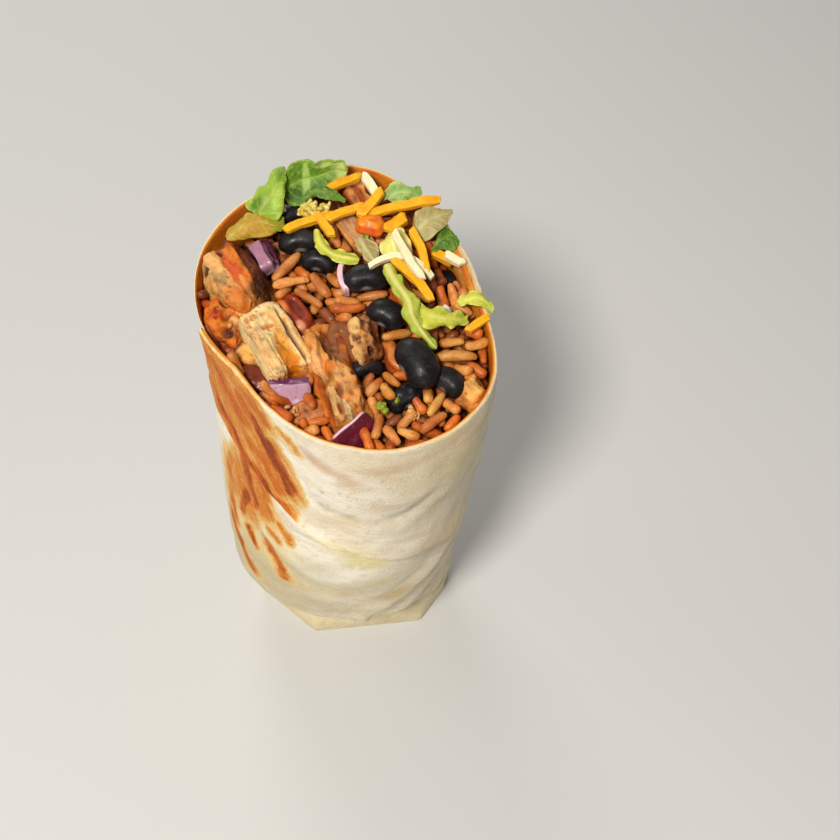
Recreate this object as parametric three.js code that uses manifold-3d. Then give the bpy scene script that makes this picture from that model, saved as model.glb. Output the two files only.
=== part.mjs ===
// One half of a large chicken burrito, cut across and stood on its folded end.
//
// Units are millimetres and +Z is up. The origin is the middle of the foot, on the surface that the
// half stands on. +X is to the right and -Y is the front, where the cut face slopes down.
import * as THREE from 'three';
import { mergeVertices } from 'three/addons/utils/BufferGeometryUtils.js';
import Module from 'manifold-3d';

const wasm = await Module();
wasm.setup();

// ---------------------------------------------------------------------------------------------
// Driving dimensions
// ---------------------------------------------------------------------------------------------
const CUT_HEIGHT = 118; // cut face above the foot, on the line that the slope turns about
const CUT_SLOPE_DEG = 14; // the cut rises towards the back
const CUT_LINE_Y = 5; // where the cut face is exactly CUT_HEIGHT up
const TORTILLA = 1.5; // thickness of one layer of tortilla
const INNER_END = 1.8; // extra thickness where the tortilla's inner end lies against the wall
const INNER_END_TURN = 0.08; // direction of that inner end, in turns from +X towards the back
const FLAP_STEP = 1.4; // how far the outer flap's free edge stands off the layer under it
const FLAP_TURN = 0.52; // direction where the flap's free edge comes down from the rim, in turns
const FLAP_CORNER = 0.78; // level where that edge turns to run round the front
const FLAP_FALL = 0.45; // how much lower it gets round the front, for each turn
const FLAP_DROOP = 0.8; // and how much more, for each turn squared
const FLAP_FADE = [0.14, 0.36]; // turns past the corner where the step fades into a soft ridge
const FLAP_REACH = 25; // how far from the edge the layer under the flap comes up to the outline
const FLOOR = 10; // thickness of the folded end, several layers together
const FLOOR_LEVEL = FLOOR / CUT_HEIGHT;
const MEAN_GIRTH = 207; // way round the wrap at half its height
const CREASE = 0.085; // level of the crease where the folded end turns out into the foot
const GAP = 0.3; // clearance between neighbouring pieces
const FACET_GAP = 0.15; // more clearance, for the flat facets of a piece and of what is cut round it
const RICE_EDGE = -8; // top of the rice against the wall, from the cut face
const RICE_CROWN = 3; // how much higher the rice is in the middle
const RICE_LUMP = 0.8; // height of the lumps in the rice
const RICE_GAP = 0.55; // clearance between the rice and the faceted wall
const LEAF_THICKNESS = 0.9;
const LEAF_ROOM = 3; // share of the clearance above and below a leaf, more than 2 for its slopes

const COLUMNS = 34; // facets round the wall
const RICE_COLUMNS = 22; // facets round the rice

const rad = THREE.MathUtils.degToRad;
const CUT_SLOPE = Math.tan(rad(CUT_SLOPE_DEG));

/** Height of the cut face over a point of the floor. */
function cutHeight(x, y) {
  return CUT_HEIGHT + CUT_SLOPE * (y - CUT_LINE_Y);
}

// ---------------------------------------------------------------------------------------------
// The outline of the wrap. Each section has its level as a share of the wall's height, its middle,
// and its radius in twelve directions, every 30 degrees from the right by way of the back.
// ---------------------------------------------------------------------------------------------
const SECTIONS = [
  { level: 0, x: 0, y: 0, radii: [29.5, 27, 22, 19.5, 22, 27, 28.4, 22, 20.6, 18.7, 19.8, 26.3] },
  { level: CREASE, x: 0, y: 0, radii: [30, 24, 18.5, 17, 18.5, 24, 29.4, 20.4, 16.7, 16, 18.2, 26] },
  { level: 0.2, x: 0, y: 1, radii: [30.8, 30.4, 29, 27.5, 29, 31, 32.2, 28.6, 26, 25.5, 27.2, 28.8] },
  { level: 0.4, x: 1.5, y: 3, radii: [33.4, 33.2, 33, 32.5, 33.4, 34, 34, 32, 31.4, 31.5, 32.6, 32.8] },
  { level: 0.62, x: 3.6, y: 4.5, radii: [34, 33.2, 34.2, 35.2, 35.8, 36, 34.7, 32, 32, 34.5, 36, 35] },
  { level: 0.84, x: 4.6, y: 5, radii: [34, 32.4, 34.4, 37, 37, 37.6, 35, 30.4, 30.6, 34, 37, 36.8] },
  { level: 1, x: 4.6, y: 5, radii: [32.5, 31.7, 34.5, 38.7, 37.9, 38.4, 35.8, 29.4, 29.8, 33, 36.9, 38.2] },
];

/** Smooth cubic through b and c, with a and d as the neighbours. */
function cubic(a, b, c, d, t) {
  const slopeB = (c - a) / 2;
  const slopeC = (d - b) / 2;
  const bend = b - c;
  return b + t * (slopeB + t * (-3 * bend - 2 * slopeB - slopeC + t * (2 * bend + slopeB + slopeC)));
}

/** Radius of one section in a direction given in turns, from +X towards +Y. */
function sectionRadius(section, turn) {
  const count = section.radii.length;
  const place = (((turn % 1) + 1) % 1) * count;
  const first = Math.floor(place);
  const at = (step) => section.radii[(first + step + count) % count];
  return cubic(at(-1), at(0), at(1), at(2), place - first);
}

/** Blend of a value over the sections at a level of the wall. */
function overSections(level, value) {
  const last = SECTIONS.length - 1;
  let low = 0;
  while (low < last - 1 && SECTIONS[low + 1].level < level) low += 1;
  const share = (level - SECTIONS[low].level) / (SECTIONS[low + 1].level - SECTIONS[low].level);
  const at = (step) => value(SECTIONS[THREE.MathUtils.clamp(low + step, 0, last)]);
  return low === 0 ? THREE.MathUtils.lerp(at(0), at(1), share) : cubic(at(-1), at(0), at(1), at(2), share);
}

/** A direction in turns as an offset from another, from -0.5 to 0.5. */
function offTurn(turn, from) {
  return ((((turn - from + 0.5) % 1) + 1) % 1) - 0.5;
}

/** Distance from the flap's free edge: above zero on the layer under it, below zero on the flap. */
function flapDistance(turn, level) {
  const past = offTurn(turn, FLAP_TURN);
  const edge = past > 0 ? FLAP_CORNER - (FLAP_FALL + FLAP_DROOP * past) * past : FLAP_CORNER;
  const below = (edge - level) * CUT_HEIGHT;
  const round = past * MEAN_GIRTH;
  if (past > 0) return below > 0 ? below : Math.max(below, -round);
  return Math.hypot(round, Math.max(below, 0));
}

/** Height of the flap's step at a distance from its edge, until it fades into a soft ridge. */
function flapStep(turn, distance) {
  const fade = 1 - THREE.MathUtils.smoothstep(offTurn(turn, FLAP_TURN), ...FLAP_FADE);
  return FLAP_STEP * fade * (1 - THREE.MathUtils.smoothstep(Math.abs(distance), 0, FLAP_REACH));
}

/** How far the layer under the flap lies inside the outline. */
function flapDip(turn, level) {
  const distance = flapDistance(turn, level);
  return distance > 0 ? flapStep(turn, distance) : 0;
}

/** Thickness of the wall inside the outline: more where layers of the tortilla lie together. */
function wallThickness(turn, level) {
  const inner = 1 - THREE.MathUtils.smoothstep(Math.abs(offTurn(turn, INNER_END_TURN)), 0.06, 0.1);
  const lap = INNER_END * inner * THREE.MathUtils.smoothstep(level, 0.3, 0.7);
  return TORTILLA + lap + flapStep(turn, flapDistance(turn, level));
}

/** A point of the wrap: outside it, or inside it when inset is true. grow thickens the wall. */
function wrapPoint(turn, level, share, inset, grow) {
  const middleX = overSections(level, (section) => section.x);
  const middleY = overSections(level, (section) => section.y);
  const outside = overSections(level, (section) => sectionRadius(section, turn));
  const inside = outside - wallThickness(turn, level) - grow;
  const radius = inset ? inside : outside - flapDip(turn, level) + grow;
  const x = middleX + Math.cos(turn * 2 * Math.PI) * radius * share;
  const y = middleY + Math.sin(turn * 2 * Math.PI) * radius * share;
  return new THREE.Vector3(x, y, level * cutHeight(x, y));
}

// ---------------------------------------------------------------------------------------------
// Solids
// ---------------------------------------------------------------------------------------------

/** The geometry as a closed body: positions only, shared corners merged, no empty triangles. */
function closed(geometry) {
  geometry.deleteAttribute('normal');
  geometry.deleteAttribute('uv');
  const merged = mergeVertices(geometry, 1e-4);
  const index = [];
  for (let i = 0; i < merged.index.count; i += 3) {
    const corners = [0, 1, 2].map((step) => merged.index.getX(i + step));
    if (new Set(corners).size === 3) index.push(...corners);
  }
  merged.setIndex(index);
  return merged;
}

/** A closed geometry as a solid that can be cut. */
function solidOf(geometry) {
  const body = closed(geometry);
  return new wasm.Manifold(new wasm.Mesh({
    numProp: 3,
    vertProperties: new Float32Array(body.attributes.position.array),
    triVerts: new Uint32Array(body.index.array),
  }));
}

/** The largest body of a solid, as a geometry. */
function geometryOf(solid) {
  const bodies = solid.decompose();
  bodies.sort((a, b) => b.volume() - a.volume());
  const mesh = bodies[0].getMesh();
  const geometry = new THREE.BufferGeometry();
  geometry.setAttribute('position', new THREE.BufferAttribute(new Float32Array(mesh.vertProperties), 3));
  geometry.setIndex(Array.from(mesh.triVerts));
  geometry.computeVertexNormals();
  return geometry;
}

/** Moves every vertex of a geometry by a function of its place. */
function reshaped(geometry, move) {
  const position = geometry.attributes.position;
  const place = new THREE.Vector3();
  for (let i = 0; i < position.count; i += 1) {
    place.fromBufferAttribute(position, i);
    move(place);
    position.setXYZ(i, place.x, place.y, place.z);
  }
  return geometry;
}

/** A turned body with one ring of vertices for each row, from the axis back to the axis. */
function turned(rows, columns, point) {
  const profile = rows.map((row, i) => new THREE.Vector2(row.share > 0 ? 1 : 0, i));
  const lathe = new THREE.LatheGeometry(profile, columns);
  return reshaped(lathe, (place) => {
    const turn = Math.atan2(place.x, place.z) / (2 * Math.PI);
    place.copy(point(turn, rows[Math.round(place.y)]));
  });
}

/** Evenly spaced levels from one level to another, both included. */
function levels(from, to, steps) {
  return Array.from({ length: steps + 1 }, (_, i) => THREE.MathUtils.lerp(from, to, i / steps));
}

/** The wrap as a cup: up the outside, over the rim, down the inside and across the floor. */
function wrap(grow) {
  const rows = [{ level: 0, share: 0, inset: false }];
  const rise = [...levels(0, CREASE, 2), 0.12, 0.16, ...levels(0.2, 1, 8)];
  for (const level of rise) rows.push({ level, share: 1, inset: false });
  for (const level of [...levels(1, 0.2, 6), 0.14]) rows.push({ level, share: 1, inset: true });
  for (const share of [0.7, 0]) rows.push({ level: FLOOR_LEVEL, share, inset: true, flat: true });
  return turned(rows, COLUMNS, (turn, row) => {
    const place = wrapPoint(turn, row.level, row.share, row.inset, grow);
    if (row.flat) place.z = FLOOR + grow;
    if (row.level === 1) place.z += grow;
    return place;
  });
}

/** Height of the top of the rice: it follows the cut face, crowned in the middle and lumpy. */
function riceHeight(x, y, share) {
  const lumps = Math.sin(x * 0.55 + 1) * Math.cos(y * 0.5) + 0.6 * Math.sin(x * 0.9 - y * 0.7);
  return cutHeight(x, y) + RICE_EDGE + RICE_CROWN * (1 - share * share) + RICE_LUMP * lumps;
}

/** The rice that fills the wrap: across the floor, up the inside of the wall and over its top. */
function riceFill() {
  const rows = [0, 0.65].map((share) => ({ level: FLOOR_LEVEL, share, flat: true }));
  for (const level of [0.145, ...levels(0.2, 0.92, 4)]) rows.push({ level, share: 1 });
  for (const share of [0.999, 0.82, 0.62, 0.42, 0.2, 0]) rows.push({ level: 0.95, share, top: true });
  return turned(rows, RICE_COLUMNS, (turn, row) => {
    const place = wrapPoint(turn, row.level, row.share, true, RICE_GAP);
    if (row.flat) place.z = FLOOR + GAP;
    if (row.top) place.z = riceHeight(place.x, place.y, row.share);
    return place;
  });
}

// ---------------------------------------------------------------------------------------------
// Shapes of the filling. Each lies along X about the origin and takes grow, an extra thickness
// all round that makes the room another piece is cut back to.
// ---------------------------------------------------------------------------------------------

/** A torn or cut chunk: a rounded block with lumps. */
function chunk({ length, width, depth, square = 3, lumps = 0.07, seed = 0 }, grow) {
  return reshaped(new THREE.IcosahedronGeometry(1, 1), (place) => {
    const size = Math.abs(place.x) ** square + Math.abs(place.y) ** square + Math.abs(place.z) ** square;
    const ripple = Math.sin(place.x * 5 + seed) * Math.cos(place.y * 4 - seed * 2);
    const wave = ripple + Math.sin(place.z * 4 + seed * 3);
    place.multiplyScalar(size ** (-1 / square) * (1 + lumps * wave));
    place.set(place.x * (length / 2 + grow), place.y * (width / 2 + grow), place.z * (depth / 2 + grow));
  });
}

/** A bean: a kidney shape with its hollow side towards -Y. */
function bean({ length, width, depth, bend = 0.14 }, grow) {
  const ball = new THREE.SphereGeometry(1, 8, 5);
  ball.rotateZ(Math.PI / 2);
  return reshaped(ball, (place) => {
    const along = place.x;
    place.set(along * (length / 2 + grow), place.y * (width / 2 + grow), place.z * (depth / 2 + grow));
    place.y += (0.4 - along * along) * bend * length * 0.5;
  });
}

/** A slab cut from an onion or pepper ring: even thickness, bowed along its length. */
function slab({ length, width, depth, bow = 0.15 }, grow) {
  const box = new THREE.BoxGeometry(length + 2 * grow, width + 2 * grow, depth + 2 * grow, 4, 1, 1);
  return reshaped(box, (place) => {
    const along = (2 * place.x) / length;
    place.y += (0.5 - along * along) * bow * length * 0.5;
  });
}

/** A torn leaf: a thin sheet that narrows to its ends, curls across and ruffles along. */
function leaf({ length, width, curl = 0.2, arch = 0.1, ruffle = 0.05, point = 0.5, waves = 2.5 }, grow) {
  const sheet = new THREE.BoxGeometry(2, 2, 1, 5, 2, 1);
  return reshaped(sheet, (place) => {
    const along = place.x;
    const across = place.y;
    const narrow = Math.sqrt(1 - point * along * along);
    const rise = curl * width * across * across + arch * length * (0.5 - along * along);
    const frill = ruffle * length * Math.abs(across) * Math.sin(along * waves * Math.PI + across);
    place.x = along * (length / 2 + grow);
    place.y = across * ((width / 2) * narrow + grow);
    place.z = place.z * (LEAF_THICKNESS + LEAF_ROOM * grow) + rise + frill;
  });
}

/** A grated shred of cheese: a four-sided strip along a curve. */
function shred({ length, width = 2, depth = 1.5, bow = 0, arch = 0 }, grow) {
  const half = length / 2 + grow;
  const path = new THREE.QuadraticBezierCurve3(
    new THREE.Vector3(-half, 0, 0),
    new THREE.Vector3(0, bow * 2, arch * 2),
    new THREE.Vector3(half, 0, 0),
  );
  const w = width / 2 + grow;
  const d = depth / 2 + grow;
  const section = new THREE.Shape([
    new THREE.Vector2(-d, -w),
    new THREE.Vector2(d, -w),
    new THREE.Vector2(d, w),
    new THREE.Vector2(-d, w),
  ]);
  return new THREE.ExtrudeGeometry(section, { steps: bow || arch ? 4 : 1, extrudePath: path });
}

// ---------------------------------------------------------------------------------------------
// What lies in the cut face. x and y are the place over the floor and up is the height above the
// cut face, all of the piece's middle. heading turns it in the cut face, from +X towards the back,
// pitch lifts its +X end and roll turns it about its own length, in degrees.
// ---------------------------------------------------------------------------------------------
const BEANS = [
  { x: -6.9, y: 23.8, up: -1.4, heading: 4, length: 10.6, width: 6.4, depth: 6 },
  { x: -9.2, y: 31.4, up: -2.6, heading: 25, length: 10, width: 6.2, depth: 6 },
  { x: -2.4, y: 19.5, up: -2.6, heading: -12, length: 8.4, width: 6, depth: 6 },
  { x: 8.7, y: 13.6, up: -0.8, heading: 6, length: 10.6, width: 6.8, depth: 6.4 },
  { x: 13.6, y: 5, up: -1.6, heading: -25, length: 9.4, width: 7.2, depth: 6.6 },
  { x: 21.1, y: -8, up: 0.2, heading: -57, length: 13.2, width: 8.8, depth: 7.6 },
  { x: 28, y: -10.8, up: -2.6, heading: -38, length: 8.6, width: 6.2, depth: 6 },
  { x: 18, y: -12.8, up: -5.4, heading: 24, length: 9.4, width: 6.6, depth: 5.6 },
  { x: 28.2, y: 17.4, up: -8, heading: 27, length: 9.5, width: 6.4, depth: 6 },
  { x: 8.6, y: -5.6, up: -6, heading: 20, length: 9, width: 5.6, depth: 5.6 },
];

const CHICKEN = [
  { x: -22.2, y: 15.2, up: -3.4, heading: -54, length: 20, width: 13.4, depth: 12, seed: 1 },
  { x: -23.6, y: 5.2, up: -5.4, heading: -48, length: 11, width: 8, depth: 8, seed: 2 },
  {
    x: -11.6, y: -1.6, up: -3.2, heading: -60, roll: -14,
    length: 19, width: 10.6, depth: 9, square: 5, seed: 0.4,
  },
  { x: 2.6, y: -9.8, up: -3, heading: -71, length: 27.4, width: 9.6, depth: 9, square: 4, seed: 5 },
  { x: 4.2, y: -0.4, up: -4.8, heading: -68, length: 11, width: 7.4, depth: 6.4, seed: 6 },
  { x: 8.8, y: 0, up: -2.6, heading: -75, length: 11.2, width: 6.2, depth: 7, seed: 7 },
  { x: -3.8, y: -16.2, up: -6, heading: 14, length: 8.6, width: 6, depth: 6, seed: 8 },
  { x: 33.2, y: -12.4, up: -4.4, heading: -70, length: 7.6, width: 7, depth: 7, lumps: 0.1, seed: 9 },
  { x: -17.4, y: -2.6, up: -5.8, heading: -28, length: 7.2, width: 5.2, depth: 6, seed: 10 },
  { x: 7.2, y: 35, up: -1.8, heading: -62, length: 8.6, width: 5.6, depth: 6, seed: 11 },
  { x: 5.8, y: 27.2, up: -2, heading: -52, length: 12, width: 4.6, depth: 4.4, square: 4, seed: 13 },
];

const ONION = [
  { x: -15, y: 20.8, up: -2.8, heading: -62, roll: 10, length: 7.2, width: 4.8, depth: 5.2 },
  { x: -8, y: -12.4, up: -4.4, heading: 2, roll: -30, length: 9.4, width: 2.8, depth: 7.4, bow: -0.14 },
  { x: 7.4, y: -21.6, up: -6, heading: 43, roll: -22, length: 10, width: 1.8, depth: 8, bow: -0.08 },
  { x: 3.4, y: 14.6, up: -2, heading: -84, length: 8, width: 1.4, depth: 4.6, bow: -0.3 },
];

const PEPPER = [
  { x: -7.5, y: 7, up: -4.4, heading: -54, length: 10.6, width: 6.6, depth: 5.4, seed: 1 },
  { x: -15.8, y: -8.2, up: -6.2, heading: -42, length: 9, width: 5, depth: 6, seed: 2 },
  { x: 15.3, y: -3.2, up: -4.8, heading: -66, length: 9.2, width: 4.4, depth: 5, seed: 3 },
  { x: -23.6, y: 0.4, up: -7.6, heading: -17, length: 6, width: 4.4, depth: 5, seed: 4 },
  { x: 10, y: 25.4, up: 2.4, heading: -15, length: 6.8, width: 5.2, depth: 4, seed: 5 },
];

const LETTUCE = [
  {
    x: -14.2, y: 30.2, up: 4.4, heading: 64, roll: 22,
    length: 18.5, width: 9.6, curl: -0.12, arch: 0.1,
  },
  { x: -3.4, y: 34, up: 4.8, heading: 26, roll: 44, length: 17.5, width: 10.4, curl: 0.16, arch: 0.08 },
  {
    x: -17.6, y: 25.4, up: 1.8, heading: 12, roll: 12,
    length: 14.6, width: 6.4, curl: -0.1, arch: 0.06, point: 0.7,
  },
  { x: -1, y: 32, up: 3.2, heading: -17, roll: 30, length: 12, width: 4.2, curl: 0.3, ruffle: 0.09 },
  { x: 2.8, y: 19.8, up: 1.6, heading: -32, roll: 8, length: 15.5, width: 3, curl: 0.2, arch: -0.08 },
  { x: 9, y: 20.6, up: -0.2, heading: -44, length: 10.4, width: 5, curl: 0.1 },
  {
    x: 16, y: 20, up: 2, heading: -58, roll: -10,
    length: 10, width: 8.4, curl: -0.1, arch: 0.1, point: 0.6,
  },
  {
    x: 19.2, y: 4.4, up: 1.8, heading: -63, roll: 16,
    length: 25, width: 4.6, curl: 0.35, arch: 0.05, ruffle: 0.03,
  },
  {
    x: 24.9, y: 1.2, up: 2, heading: -12, roll: -8,
    length: 15.5, width: 6.2, curl: 0.12, ruffle: 0.08, point: 0.65,
  },
  {
    x: 33.9, y: 4.8, up: 2.6, heading: -17, pitch: -8,
    length: 10.5, width: 3.8, curl: 0.2, point: 0.8,
  },
  {
    x: 24.2, y: 25.8, up: 2.6, heading: 14, roll: 10,
    length: 11, width: 8.2, curl: -0.12, arch: 0.06, point: 0.75,
  },
  {
    x: 17.4, y: 33.8, up: 1.6, heading: -8, roll: 34,
    length: 9.6, width: 5.2, curl: 0.25, ruffle: 0.06,
  },
  { x: 27.2, y: 24.4, up: -2.4, heading: -40, roll: 20, length: 9, width: 5, curl: 0.1 },
];

const ORANGE_CHEESE = [
  { x: -4.9, y: 25.2, up: 3.6, heading: 22, length: 12, arch: 0.4 },
  { x: 2.7, y: 33, up: 6.6, heading: 27, length: 10.4, bow: 0.4 },
  { x: 3.5, y: 26.9, up: 4.6, heading: 25, length: 9.4 },
  { x: -1, y: 23.1, up: 5.8, heading: -61, pitch: 6, length: 7.8, bow: 0.4 },
  { x: 9.9, y: 27.4, up: 7.8, heading: 56, length: 8.8, width: 2.4 },
  { x: 16.8, y: 27.2, up: 5.8, heading: 14, length: 19.6, width: 2.2, bow: 0.8 },
  { x: 15.6, y: 25.2, up: 2.8, heading: 38, length: 6, width: 2.8, depth: 2 },
  { x: 21.3, y: 17.2, up: 4.2, heading: -73, length: 12, bow: 0.6 },
  { x: 19.7, y: 9.6, up: 4.6, heading: -50, length: 14, width: 2.2, bow: 0.5 },
  { x: 27.6, y: 19.3, up: -1, heading: -28, length: 6, width: 2.2, depth: 2 },
  { x: 34.5, y: 1.2, up: 1, heading: 36, length: 6.4, width: 1.8 },
];

const WHITE_CHEESE = [
  { x: 17, y: 10.8, up: 6.8, heading: -11, length: 15, width: 1.8, bow: 2.6, arch: 0.6 },
  { x: 19, y: 13, up: 9.2, heading: -62, length: 14, width: 1.9, bow: -0.4 },
  { x: 9.7, y: 35.2, up: 3.4, heading: -54, length: 7, width: 2.2 },
  { x: 29.8, y: 17.4, up: 0.8, heading: -36, length: 5, width: 2 },
];

/** Turns a shape to its heading, pitch and roll in the sloping cut face and sets it in place. */
function set(geometry, { x, y, up, heading = 0, pitch = 0, roll = 0 }) {
  geometry.rotateX(rad(roll));
  geometry.rotateY(-rad(pitch));
  geometry.rotateZ(rad(heading));
  geometry.rotateX(rad(CUT_SLOPE_DEG));
  geometry.translate(x, y, cutHeight(x, y) + up);
  return geometry;
}

// Kinds of filling, in the order in which they keep their full shape: each is cut back round all
// that come before it.
const KINDS = [
  { name: 'white_cheese', pieces: WHITE_CHEESE, make: shred, colour: 0xf3e9d2, roughness: 0.5 },
  { name: 'orange_cheese', pieces: ORANGE_CHEESE, make: shred, colour: 0xf0a818, roughness: 0.45 },
  { name: 'lettuce', pieces: LETTUCE, make: leaf, colour: 0xa9c24a, roughness: 0.45 },
  { name: 'bean', pieces: BEANS, make: bean, colour: 0x24222a, roughness: 0.25 },
  { name: 'onion', pieces: ONION, make: slab, colour: 0xb08ab0, roughness: 0.3 },
  { name: 'chicken', pieces: CHICKEN, make: chunk, colour: 0xc98a4b, roughness: 0.6 },
  { name: 'pepper', pieces: PEPPER, make: chunk, colour: 0xb4451a, roughness: 0.3 },
];

const burrito = new THREE.Group();

/** Adds one solid as a named mesh with its own material. */
function addPiece(name, geometry, colour, roughness) {
  const material = new THREE.MeshStandardMaterial({ color: colour, roughness, metalness: 0 });
  const mesh = new THREE.Mesh(geometry, material);
  mesh.name = name;
  burrito.add(mesh);
}

// Pieces are kept inside the wrap, or above it, by cutting them back round a thickened wall.
const rooms = [solidOf(wrap(GAP))];

/** The solid without the rooms of the pieces that it comes near. */
function clearOf(solid) {
  let rest = solid;
  for (const room of rooms) {
    const shared = rest.intersect(room);
    if (shared.volume() > 0) rest = rest.subtract(room);
  }
  return rest;
}

addPiece('tortilla', geometryOf(solidOf(wrap(0))), 0xe9dcc0, 0.75);

for (const kind of KINDS) {
  kind.pieces.forEach((piece, i) => {
    const rest = clearOf(solidOf(set(kind.make(piece, 0), piece)));
    addPiece(`${kind.name}_${i + 1}`, geometryOf(rest), kind.colour, kind.roughness);
    rooms.push(solidOf(set(kind.make(piece, GAP + FACET_GAP), piece)));
  });
}

addPiece('rice', geometryOf(clearOf(solidOf(riceFill()))), 0xc9772f, 0.55);

export default burrito;
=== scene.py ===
"""One half of a large chicken burrito, cut across and stood on its folded end.

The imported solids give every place: each piece of the filling is modelled here in full and set
where its solid lies, and the wrap is modelled again from the same sections with its flap, its
layered rim, its wrinkles and its toasted streaks. Forms are worked out in millimetres and
written to their meshes in metres.
"""

import itertools
import logging
import math
from contextlib import contextmanager
from dataclasses import dataclass, replace
from enum import Enum
from typing import Iterator, Sequence

import bpy
import numpy as np
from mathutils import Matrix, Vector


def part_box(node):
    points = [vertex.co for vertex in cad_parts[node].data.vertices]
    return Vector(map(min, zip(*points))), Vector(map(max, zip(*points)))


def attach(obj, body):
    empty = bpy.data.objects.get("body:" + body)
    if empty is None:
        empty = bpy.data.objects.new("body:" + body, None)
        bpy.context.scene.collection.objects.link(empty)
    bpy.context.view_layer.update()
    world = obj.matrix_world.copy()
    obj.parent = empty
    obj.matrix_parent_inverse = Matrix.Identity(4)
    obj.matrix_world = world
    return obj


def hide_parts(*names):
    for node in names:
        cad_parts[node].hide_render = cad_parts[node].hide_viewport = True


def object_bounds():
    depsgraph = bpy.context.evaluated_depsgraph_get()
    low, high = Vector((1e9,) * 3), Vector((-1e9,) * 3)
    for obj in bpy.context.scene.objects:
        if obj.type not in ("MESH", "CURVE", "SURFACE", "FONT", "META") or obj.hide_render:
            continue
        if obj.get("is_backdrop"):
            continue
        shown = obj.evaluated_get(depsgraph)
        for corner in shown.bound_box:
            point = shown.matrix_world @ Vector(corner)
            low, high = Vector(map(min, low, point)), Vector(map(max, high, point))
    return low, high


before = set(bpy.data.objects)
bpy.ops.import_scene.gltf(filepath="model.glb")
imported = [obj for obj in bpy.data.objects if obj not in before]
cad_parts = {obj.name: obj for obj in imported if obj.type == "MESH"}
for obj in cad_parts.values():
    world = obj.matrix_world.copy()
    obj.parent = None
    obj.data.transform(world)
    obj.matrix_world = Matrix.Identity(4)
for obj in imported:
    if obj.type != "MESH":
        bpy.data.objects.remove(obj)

LOG = logging.getLogger("burrito")
Array = np.ndarray
Colour = tuple[float, float, float]
MM = 0.001
BODY = "root"
TINT = "tint"
TOAST = "toast"
OIL_AND_SHADE = "oil"
UNROLLED = "unrolled"
UNROLLED_SIZE = 256.0

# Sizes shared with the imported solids, in millimetres, degrees and turns. Turn 0 is to the
# right, 0.25 to the back, 0.5 to the left and 0.75 to the front.
CUT_HEIGHT = 118.0
CUT_SLOPE_DEG = 14.0
CUT_LINE_Y = 5.0
TORTILLA = 1.5
INNER_END = 1.8
INNER_END_TURN = 0.08
FLAP_STEP = 1.4
FLAP_TURN = 0.52
FLAP_CORNER = 0.78
FLAP_FALL = 0.45
FLAP_DROOP = 0.8
FLAP_FADE = (0.14, 0.36)
FLAP_REACH = 25.0
MEAN_GIRTH = 207.0
CREASE = 0.085
FLOOR = 10.0
DRUM_RADIUS = 33.0
END_REACH = (0.06, 0.1)
SLOPE = math.tan(math.radians(CUT_SLOPE_DEG))
SINK_BACK = 0.727


# ---------------------------------------------------------------------------------------------
# Numbers: smooth steps, noise and colours
# ---------------------------------------------------------------------------------------------
def rise(value: Array | float, low: float, high: float) -> Array:
    """Smooth step of a value, from 0 at low to 1 at high."""
    share = np.clip((np.asarray(value, float) - low) / (high - low), 0.0, 1.0)
    return share * share * (3.0 - 2.0 * share)


def lerp(first: Array | float, second: Array | float, share: Array | float) -> Array:
    """Straight blend from first at share 0 to second at share 1."""
    return first + (second - first) * share


def hashed(cells: Array, seed: int) -> Array:
    """Repeatable scattered values for whole-numbered cells.

    Args:
        cells: Cell numbers, with three numbers in the last axis.
        seed: Picks one of many such patterns.

    Returns:
        One value from 0 to 1 for each cell.
    """
    words = cells.astype(np.int64)
    bits = words[..., 0] * 374761393 + words[..., 1] * 668265263
    bits = (bits + words[..., 2] * 974634211 + seed * 951274213) & 0xFFFFFFFF
    bits = ((bits ^ (bits >> 13)) * 1274126177) & 0xFFFFFFFF
    bits = ((bits ^ (bits >> 15)) * 668265263) & 0xFFFFFFFF
    return (bits ^ (bits >> 16)) / 0xFFFFFFFF


def noise(places: Array, size: float | Sequence[float], seed: int = 0) -> Array:
    """Smooth noise over places.

    Args:
        places: Points, with three numbers in the last axis.
        size: Width of one bump, or one width for each direction.
        seed: Picks the pattern.

    Returns:
        One value from -1 to 1 for each point.
    """
    scaled = places / np.asarray(size, float)
    cell = np.floor(scaled)
    share = scaled - cell
    share = share * share * (3.0 - 2.0 * share)
    total = np.zeros(places.shape[:-1])
    for corner in itertools.product((0, 1), repeat=3):
        step = np.array(corner)
        weight = np.prod(np.where(step == 1, share, 1.0 - share), axis=-1)
        total += weight * hashed(cell + step, seed)
    return total * 2.0 - 1.0


def layered(places: Array, size: float | Sequence[float], count: int = 3, seed: int = 0) -> Array:
    """Noise with finer and fainter layers over it.

    Args:
        places: Points, with three numbers in the last axis.
        size: Width of the largest bumps.
        count: How many layers, each half the size and height of the last.
        seed: Picks the pattern.

    Returns:
        One value from about -1 to 1 for each point.
    """
    widths = np.asarray(size, float)
    layers = [noise(places, widths / 2**i, seed + i) / 2**i for i in range(count)]
    return sum(layers) / (2.0 - 0.5 ** (count - 1))


def pits(places: Array, size: float, seed: int = 0) -> Array:
    """Distance to the nearest of many scattered points, for pores and cells.

    Args:
        places: Points, with three numbers in the last axis.
        size: Mean distance between the scattered points.
        seed: Picks the pattern.

    Returns:
        The distance as a share of size, for each point.
    """
    scaled = places / size
    cell = np.floor(scaled)
    nearest = np.full(places.shape[:-1], 9.0)
    for step in itertools.product((-1, 0, 1), repeat=3):
        near = cell + np.array(step)
        spot = near + np.stack([hashed(near, seed + axis) for axis in range(3)], axis=-1)
        nearest = np.minimum(nearest, np.linalg.norm(scaled - spot, axis=-1))
    return nearest


def rgb(red: float, green: float, blue: float) -> Colour:
    """A screen colour from 0 to 255 as the linear colour that shaders use."""
    shares = [channel / 255.0 for channel in (red, green, blue)]
    return tuple(s / 12.92 if s <= 0.04045 else ((s + 0.055) / 1.055) ** 2.4 for s in shares)


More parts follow.
